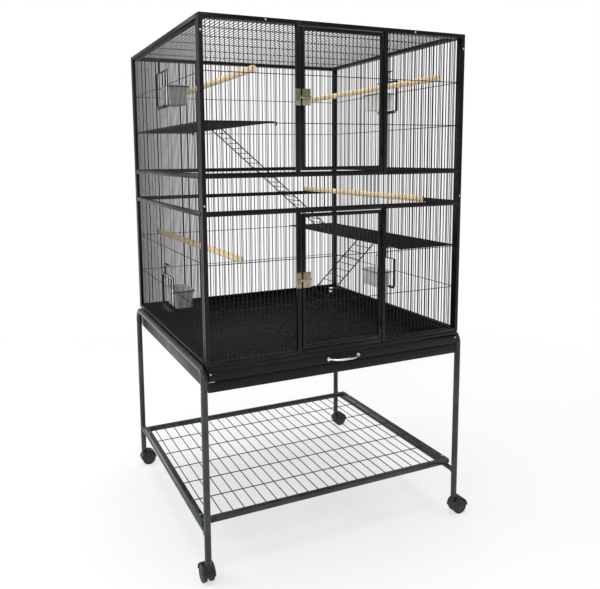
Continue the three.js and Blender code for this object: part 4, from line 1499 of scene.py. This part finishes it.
@dataclass
class Base:
    """The sheet-metal base with its floor grate and pull-out tray."""

    jig: Jig
    shell: Shell
    sheet: float = 1.5
    ledges: tuple[float, ...] = (0, 28.8, 58.5)
    grate_edge: float = 8
    grate_high: float = 4
    grate_lip: float = 0.8
    grate_spans: int = 12
    pan_sheet: float = 1.2
    pan_high: float = 23
    pan_in: float = 2.5
    bow_flat: float = 27
    bow_bend: float = 40
    bow_radius: float = 3
    foot_in: float = 6

    def walls(self) -> None:
        """The side walls with their ledges, the back wall and the rail under the tray."""
        for side in ("left", "right"):
            low, high = self.jig.box(f"base_{side}_wall")
            wall, edge, way = (low.x, high.x, 1) if side == "left" else (high.x, low.x, -1)
            stock = Stock()
            stock.block((wall, low.y, low.z), (wall + way * self.sheet, high.y, high.z), 0.6)
            for z in (low.z + rise for rise in self.ledges):
                stock.block((wall + way, low.y, z), (edge, high.y, z + self.sheet), 0.6)
            x, z = wall + way * 0.9, low.z + 15
            stock.rod(Vector((x, low.y + 4, z)), Vector((x, high.y - 4, z)), 0.9, 8)
            self.jig.piece(stock, f"{side}_base_sheet", "cage", BLACK_ENAMEL, [f"base_{side}_wall"])
        low, high = self.jig.box("base_back_wall")
        back = Stock()
        back.block((low.x, high.y - self.sheet, low.z), (high.x, high.y, high.z), 0.6)
        back.block((low.x, low.y, low.z), (high.x, high.y - 1, low.z + self.sheet), 0.6)
        self.jig.piece(back, "back_base_sheet", "cage", BLACK_ENAMEL, ["base_back_wall"])
        low, high = self.jig.box("base_front_rail")
        x0, x1 = (corner.x for corner in self.jig.box("base_back_wall"))
        rail = Stock()
        rail.block((low.x, low.y, low.z), (high.x, low.y + self.sheet, high.z), 0.7)
        rail.block((x0, low.y + 1, low.z), (x1, high.y, low.z + self.sheet), 0.6)
        rail.block((x0, low.y + 1, high.z - self.sheet), (x1, high.y, high.z), 0.6)
        bead = low.z + 13.5
        rail.rod(Vector((low.x + 3, low.y + 0.9, bead)), Vector((high.x - 3, low.y + 0.9, bead)), 1.5, 10, 0.8)
        self.jig.piece(rail, "front_base_rail", "cage", BLACK_ENAMEL, ["base_front_rail"])

    def grate(self) -> None:
        """The floor grate: a flat frame, its wires, its cross wires and the pull lip."""
        low, high = self.jig.box("floor_grate")
        edge, z1 = self.grate_edge, low.z + self.grate_high
        y0 = low.y + self.grate_lip
        stock = Stock()
        stock.block((low.x, y0, low.z), (high.x, y0 + edge, z1), 0.8)
        stock.block((low.x, high.y - edge, low.z), (high.x, high.y, z1), 0.8)
        for x0, x1 in ((low.x, low.x + edge), (high.x - edge, high.x)):
            stock.block((x0, y0 + edge - 0.6, low.z), (x1, high.y - edge + 0.6, z1), 0.8)
        for x in self.shell.centres(low.x + edge, high.x - edge):
            stock.rod(Vector((x, y0 + 5, z1 - 1.3)), Vector((x, high.y - 5, z1 - 1.3)), 1.15, 8)
        for i in range(1, self.grate_spans):
            y = y0 + (high.y - y0) * i / self.grate_spans
            stock.rod(Vector((low.x + 5, y, low.z + 1.1)), Vector((high.x - 5, y, low.z + 1.1)), 1.0, 8)
        stock.block((low.x, low.y, low.z), (high.x, low.y + 1.3, high.z), 0.6)
        self.jig.piece(stock, "wire_floor_grate", "pull_out_grate", BLACK_ENAMEL, ["floor_grate"])

    def tray(self) -> None:
        """The tray: a pan with a rolled edge behind a front plate with hemmed edges."""
        low, high = self.jig.box("tray")
        stock = Stock()
        front = low.y + self.sheet
        pan_top = low.z + self.pan_high
        x0, x1 = low.x + self.pan_in, high.x - self.pan_in
        stock.block((x0, front, low.z), (x1, high.y, low.z + self.pan_sheet), 0.5)
        for x, way in ((x0, 1), (x1, -1)):
            stock.block((x, front, low.z), (x + way * self.pan_sheet, high.y, pan_top), 0.5)
            bead, z = x + way * 1.3, pan_top - 1.2
            stock.rod(Vector((bead, front + 1, z)), Vector((bead, high.y - 1, z)), 1.15, 10)
        stock.block((x0, high.y - 1.3, low.z), (x1, high.y, pan_top), 0.5)
        stock.block((low.x, low.y + 0.3, low.z), (high.x, front, high.z), 0.6)
        for z in (low.z + 1.1, high.z - 1.1):
            stock.rod(Vector((low.x + 0.5, low.y + 1.1, z)), Vector((high.x - 0.5, low.y + 1.1, z)), 1.05, 10, 0.5)
        self.jig.piece(stock, "litter_tray", "pull_out_tray", BLACK_ENAMEL, ["tray"])
        screws = Stock()
        for x in (low.x + 5, high.x - 5):
            screw_head(screws, Vector((x, low.y + 0.4, high.z - 5.5)), TO_FRONT, 2.4, 0.4)
        self.jig.piece(screws, "tray_screws", "pull_out_tray", SCREW_ZINC)

    def handle(self) -> None:
        """The bow handle on the tray with its two feet."""
        low, high = self.jig.box("tray_handle")
        middle, z = (low.x + high.x) / 2, (low.z + high.z) / 2
        half, flat = (high.x - low.x) / 2 - self.foot_in, self.bow_flat
        stock = Stock()
        corners = [(-half, high.y - 2.4), (-flat, low.y + 3), (flat, low.y + 3), (half, high.y - 2.4)]
        route = Route([Vector((middle + x, y, z)) for x, y in corners], self.bow_bend, 14)
        stock.bent(route, round_section(self.bow_radius, 20), 0.3, 0.28)
        for way in (-1, 1):
            foot = Vector((middle + way * half, high.y, z))
            stock.turned(foot, TO_FRONT, [(0, 5.8), (1.0, 5.8), (1.8, 5.2), (2.4, 3.4)], 28)
        self.jig.piece(stock, "tray_bow_handle", "pull_out_tray", CHROME, ["tray_handle"])

    def build(self) -> None:
        """Makes the base."""
        self.walls()
        self.grate()
        self.tray()
        self.handle()


# ---------------------------------------------------------------- stand


@dataclass
class Stand:
    """The tubular stand with its wire shelf."""

    jig: Jig
    leg: float = 9.5
    bend: float = 34
    stretcher: float = 8
    stretcher_up: float = 147
    shelf_tube: float = 16.0
    shelf_corner: float = 2.2
    shelf_wire: float = 1.5
    wires_back: int = 24
    spans_across: int = 6

    def side(self, side: str) -> None:
        """A bent top tube, and two legs joined by a stretcher.

        Args:
            side: "left" or "right".
        """
        low, high = self.jig.box(f"stand_{side}_tube")
        x = (low.x + high.x) / 2
        y0, y1, top = low.y + self.leg, high.y - self.leg, high.z - self.leg
        tube = Stock()
        corners = [(y0, low.z), (y0, top), (y1, top), (y1, low.z)]
        tube.bent(Route([Vector((x, y, z)) for y, z in corners], self.bend, 14), round_section(self.leg, 28), 0.8)
        self.jig.piece(tube, f"{side}_top_tube", "cage", HAMMERTONE, [f"stand_{side}_tube"])
        low, high = self.jig.box(f"stand_{side}_legs")
        legs = Stock()
        for y in (y0, y1):
            long = high.z - low.z
            swage = [(long - 7, self.leg), (long - 5.4, 8.9), (long - 0.8, 8.9), (long, 8.3)]
            legs.turned(Vector((x, y, low.z)), UP, [(0, 8.6), (0.9, self.leg), *swage], 28)
        z = self.stretcher_up
        legs.rod(Vector((x, y0 + 6, z)), Vector((x, y1 - 6, z)), self.stretcher, 24, 0.5)
        for y, way in ((y0, 1), (y1, -1)):
            weld = [(self.leg - 2.0, 10.2), (self.leg - 0.4, 9.6), (self.leg + 1.2, 8.6), (self.leg + 2.0, 8.0)]
            legs.turned(Vector((x, y, z)), Vector((0, way, 0)), weld, 24)
        self.jig.piece(legs, f"{side}_legs", "cage", HAMMERTONE, [f"stand_{side}_legs"])

    def shelf(self) -> None:
        """The shelf: a frame of square tube filled with wires."""
        low, high = self.jig.box("lower_shelf")
        stock, wires = Stock(), Stock()
        size, corner, fine = self.shelf_tube, self.shelf_corner, self.shelf_wire
        top, bottom = high.z, high.z - size
        y0, y1 = low.y, high.y
        for a, b in (((low.x, y0), (low.x + size, y1)), ((high.x - size, y0), (high.x, y1))):
            stock.block((*a, bottom), (*b, top), corner)
        for y in (y0, y1 - size):
            stock.block((low.x + size - 1, y, bottom), (high.x - size + 1, y + size, top), corner)
        self.jig.piece(stock, "shelf_tube_frame", "cage", HAMMERTONE, ["lower_shelf"])
        x0, x1 = low.x + size, high.x - size
        for i in range(self.wires_back):
            x = x0 + (x1 - x0) * (i + 0.5) / self.wires_back
            wires.rod(Vector((x, y0 + 10, top - 5)), Vector((x, y1 - 10, top - 5)), fine, 8)
        for i in range(1, self.spans_across):
            y = y0 + size + (y1 - y0 - 2 * size) * i / self.spans_across
            wires.rod(Vector((x0 - 5, y, top - 7.6)), Vector((x1 + 5, y, top - 7.6)), fine, 8)
        self.jig.piece(wires, "shelf_wires", "cage", SHELF_WIRE)

    def build(self) -> None:
        """Makes the stand."""
        self.side("left")
        self.side("right")
        self.shelf()


@dataclass
class Caster:
    """A twin-wheel caster with a hooded swivel."""

    jig: Jig
    corner: str
    radius: float = 25.0
    inner: float = 4.4
    wide: float = 13.0
    neck: float = 7.0
    flange: float = 8.4
    axle: Vector = field(init=False)
    along: Vector = field(init=False)
    stem: Vector = field(init=False)
    ahead: Vector = field(init=False)

    def build(self) -> None:
        """Makes the hood and the wheels."""
        spin = joint(f"{self.corner}_wheel_spin")
        self.axle = self.jig.point(spin["pos_m"])
        self.along = Vector(spin["axis"])
        self.stem = self.jig.point(joint(f"{self.corner}_caster_swivel")["pos_m"])
        ahead = self.stem - self.axle
        self.ahead = Vector((ahead.x, ahead.y, 0)).normalized()
        self.hood()
        self.wheels()

    def arch(self, stock: Stock, half: float, outer: float, inner: float, soft: float) -> None:
        """A half ring over the wheels with softened edges.

        Args:
            stock: the piece that it belongs to.
            half: half its width.
            outer: its outside radius.
            inner: its inside radius.
            soft: how far its edges are taken down.
        """
        rings = []
        steps = 24
        for step in range(steps + 1):
            angle = math.pi * step / steps
            out = self.ahead * math.cos(angle) + UP * math.sin(angle)
            near = [(outer, half - soft), (outer - soft, half), (inner, half)]
            corners = [*near, *[(r, -w) for r, w in reversed(near)]]
            rings.append([self.axle + out * r + self.along * w for r, w in corners])
        stock.loft(rings)

    def hood(self) -> None:
        """The hood: an arch, a web between the wheels, a neck and the swivel stem."""
        stock = Stock()
        half = self.inner + self.wide + 0.9
        self.arch(stock, half, self.radius + 4.0, self.radius + 1.6, 1.6)
        self.arch(stock, self.inner - 0.7, self.radius + 2.4, 3.4, 0.4)
        stem = Vector((self.stem.x, self.stem.y, 0))
        top = self.jig.box(f"{self.corner}_caster_hood")[1].z
        neck = [(self.radius + 12, self.neck), (top - 4.5, self.neck)]
        flange = [(top - 4.0, self.flange), (top - 1.2, self.flange), (top - 0.6, 7.6), (top, 6.4)]
        stock.turned(stem, UP, [*neck, *flange], 24)
        corner = self.corner
        nodes = [f"{corner}_caster_hood"]
        self.jig.piece(stock, f"{corner}_caster_cover", f"{corner}_swivel", CASTER_NYLON, nodes)

    def wheels(self) -> None:
        """Two dished discs with a tread, on one axle."""
        stock, r = Stock(), self.radius
        near, far = self.inner, self.inner + self.wide
        disc = [(near, 3.2), (near, r - 1.8), (near + 0.6, r - 0.9)]
        tread = [(near + 2.2, r - 0.1), (far - 2.6, r - 0.1), (far - 1.0, r - 1.2)]
        dish = [(far - 0.5, r - 3.2), (far - 1.6, r - 4.4), (far - 1.6, 12.0)]
        cap = [(far - 0.7, 10.6), (far - 0.4, 4.0), (far - 0.1, 3.2), (far, 0.6)]
        for way in (1, -1):
            stock.turned(self.axle, self.along * way, [*disc, *tread, *dish, *cap], 44)
        stock.turned(self.axle - self.along * (near + 1), self.along, [(0, 2.9), (2 * near + 2, 2.9)], 20)
        corner = self.corner
        nodes = [f"{corner}_caster_wheels"]
        self.jig.piece(stock, f"{corner}_twin_wheels", f"{corner}_wheels", CASTER_TREAD, nodes)


@dataclass
class Fasteners:
    """The bright screws that hold the panels, the stand and the shelf together."""

    jig: Jig
    radius: float = 2.6
    rise: float = 1.3
    post_in: float = 5.5
    rail_in: float = 6
    top_drop: float = 43
    band_rise: float = 28.5
    header_places: Span = (182, 651)
    leg_in: float = 9.5

    def build(self) -> None:
        """Makes all the screw heads as one piece."""
        stock, jig = Stock(), self.jig
        wide, rails = jig.width, jig.box("front_middle_band")
        for x in (self.post_in, wide - self.post_in):
            for z in (jig.top - self.top_drop, rails[0].z + self.band_rise):
                screw_head(stock, Vector((x, 0, z)), TO_FRONT, self.radius, self.rise)
        for x in self.header_places:
            screw_head(stock, Vector((x, 0, jig.top - self.rail_in)), TO_FRONT, self.radius, self.rise)
        for side, way in (("left", -1), ("right", 1)):
            low, high = jig.box(f"stand_{side}_tube")
            x = (low.x + high.x) / 2
            shelf = jig.box("lower_shelf")[1].z
            for y in (low.y + self.leg_in, high.y - self.leg_in):
                for z in (low.z + 9, low.z - 14):
                    screw_head(stock, Vector((x + way * 9.3, y, z)), Vector((way, 0, 0)), self.radius, 0.15)
            for y in (low.y + self.leg_in + 62, high.y - self.leg_in - 116):
                screw_head(stock, Vector((x, y, shelf)), UP, 3.0, 1.4)
        jig.piece(stock, "frame_screws", "cage", SCREW_ZINC)


# ---------------------------------------------------------------- studio


@dataclass(frozen=True)
class Lamp:
    """A soft area light."""

    name: str
    spot: tuple[float, float, float]
    aim: tuple[float, float, float]
    size: float
    power: float


@dataclass
class Studio:
    """The floor, the lights and the camera."""

    jig: Jig
    focal_share: float = 1.07412
    shift: Span = (0.0396, -0.0915)
    eye: tuple[float, float, float] = (-504.2, -1575.5, 1167.9)
    yaw: float = -0.4234
    pitch: float = -0.1272
    roll: float = -0.0099
    backdrop: float = 1.0
    surround: float = 0.32
    floor_reach: float = 30.0
    floor_glow: float = 0.62
    floor_fade: Span = (0.9, 2.6)
    sensor: float = 36
    lamps: tuple[Lamp, ...] = (
        Lamp("left_softbox", (-3.4, 1.1, 1.7), (0, 0, 0.9), 2.4, 85),
        Lamp("front_softbox", (-2.4, -3.2, 2.6), (0, 0, 0.8), 2.2, 45),
        Lamp("top_softbox", (0.2, 0.0, 3.9), (0, 0, 0.6), 3.2, 120),
    )

    def floor(self) -> None:
        """A wide pale floor that fades into the background."""
        mesh = bpy.data.meshes.new("studio_floor")
        reach = self.floor_reach
        corners = [(-reach, -reach, 0), (reach, -reach, 0), (reach, reach, 0), (-reach, reach, 0)]
        mesh.from_pydata(corners, [], [(0, 1, 2, 3)])
        graph = Graph("studio_floor")
        tone = graph.noise(900, 2).between(0.2, 0.8)
        paint = graph.mix(tone * 0.2, opaque((0.95, 0.95, 0.95)), opaque((0.92, 0.92, 0.92)))
        graph.set(Base_Color=paint, Roughness=0.9, Specular_IOR_Level=0.1)
        away = graph.node("ShaderNodeVectorMath", {"operation": "LENGTH"}, {0: graph.place()})
        far = Value(graph, away.outputs["Value"]).between(*self.floor_fade)
        fade = far * (1 - self.floor_glow) + self.floor_glow
        glow = graph.node("ShaderNodeEmission", None, {"Strength": self.backdrop})
        blend = graph.node("ShaderNodeMixShader", None, {0: fade, 1: graph.shader.outputs[0], 2: glow.outputs[0]})
        graph.feed(graph.output.inputs["Surface"], blend.outputs[0])
        mesh.materials.append(graph.material)
        made = bpy.data.objects.new("studio_floor", mesh)
        bpy.context.scene.collection.objects.link(made)

    def world(self) -> None:
        """A white backdrop with a softer surround, and plain display colours."""
        world = bpy.data.worlds.new("studio_world")
        world.use_nodes = True
        nodes, links = world.node_tree.nodes, world.node_tree.links
        background = nodes["Background"]
        background.inputs["Color"].default_value = (1, 1, 1, 1)
        strength = nodes.new("ShaderNodeMapRange")
        strength.inputs["To Min"].default_value = self.surround
        strength.inputs["To Max"].default_value = self.backdrop
        links.new(nodes.new("ShaderNodeLightPath").outputs["Is Camera Ray"], strength.inputs["Value"])
        links.new(strength.outputs[0], background.inputs["Strength"])
        bpy.context.scene.world = world
        bpy.context.scene.view_settings.view_transform = "Standard"

    def light(self, lamp: Lamp) -> None:
        """One softbox aimed at a point.

        Args:
            lamp: its size, place and power.
        """
        data = bpy.data.lights.new(lamp.name, "AREA")
        data.shape = "SQUARE"
        data.size = lamp.size
        data.energy = lamp.power
        made = bpy.data.objects.new(lamp.name, data)
        made.location = lamp.spot
        aim = Vector(lamp.aim) - Vector(lamp.spot)
        made.rotation_euler = aim.to_track_quat("-Z", "Y").to_euler()
        bpy.context.scene.collection.objects.link(made)

    def camera(self) -> None:
        """The camera, at standing height in front of the left corner."""
        yaw, pitch, roll = self.yaw, self.pitch, self.roll
        ahead = Vector((-math.sin(yaw) * math.cos(pitch), math.cos(yaw) * math.cos(pitch), math.sin(pitch)))
        level = Vector((math.cos(yaw), math.sin(yaw), 0))
        high = level.cross(ahead)
        right = level * math.cos(roll) + high * math.sin(roll)
        up = high * math.cos(roll) - level * math.sin(roll)
        data = bpy.data.cameras.new("camera")
        data.sensor_width = self.sensor
        data.lens = self.focal_share * data.sensor_width
        data.shift_x, data.shift_y = self.shift
        made = bpy.data.objects.new("camera", data)
        turn = Matrix((right, up, -ahead)).transposed().to_4x4()
        made.matrix_world = Matrix.Translation((Vector(self.eye) + self.jig.corner) * MM) @ turn
        bpy.context.scene.collection.objects.link(made)
        bpy.context.scene.camera = made

    def build(self) -> None:
        """Sets the studio up."""
        self.camera()
        self.floor()
        self.world()
        for lamp in self.lamps:
            self.light(lamp)


def main() -> None:
    """Builds the studio and every sub-assembly in order."""
    logging.basicConfig(level=logging.INFO, format="%(name)s %(message)s")
    jig = Jig.from_frame()
    Studio(jig).build()
    shell = Shell(jig)
    shell.build()
    for door in ("upper", "lower"):
        Latch(jig, door).build()
    for face in (Face.LEFT, Face.RIGHT):
        for level in ("lower", "upper"):
            Feeder(jig, shell, face, level).build()
    Furniture(jig).build()
    Base(jig, shell).build()
    Stand(jig).build()
    for corner in ("front_left", "front_right", "back_left", "back_right"):
        Caster(jig, corner).build()
    Fasteners(jig).build()


if __name__ == "__main__":
    main()
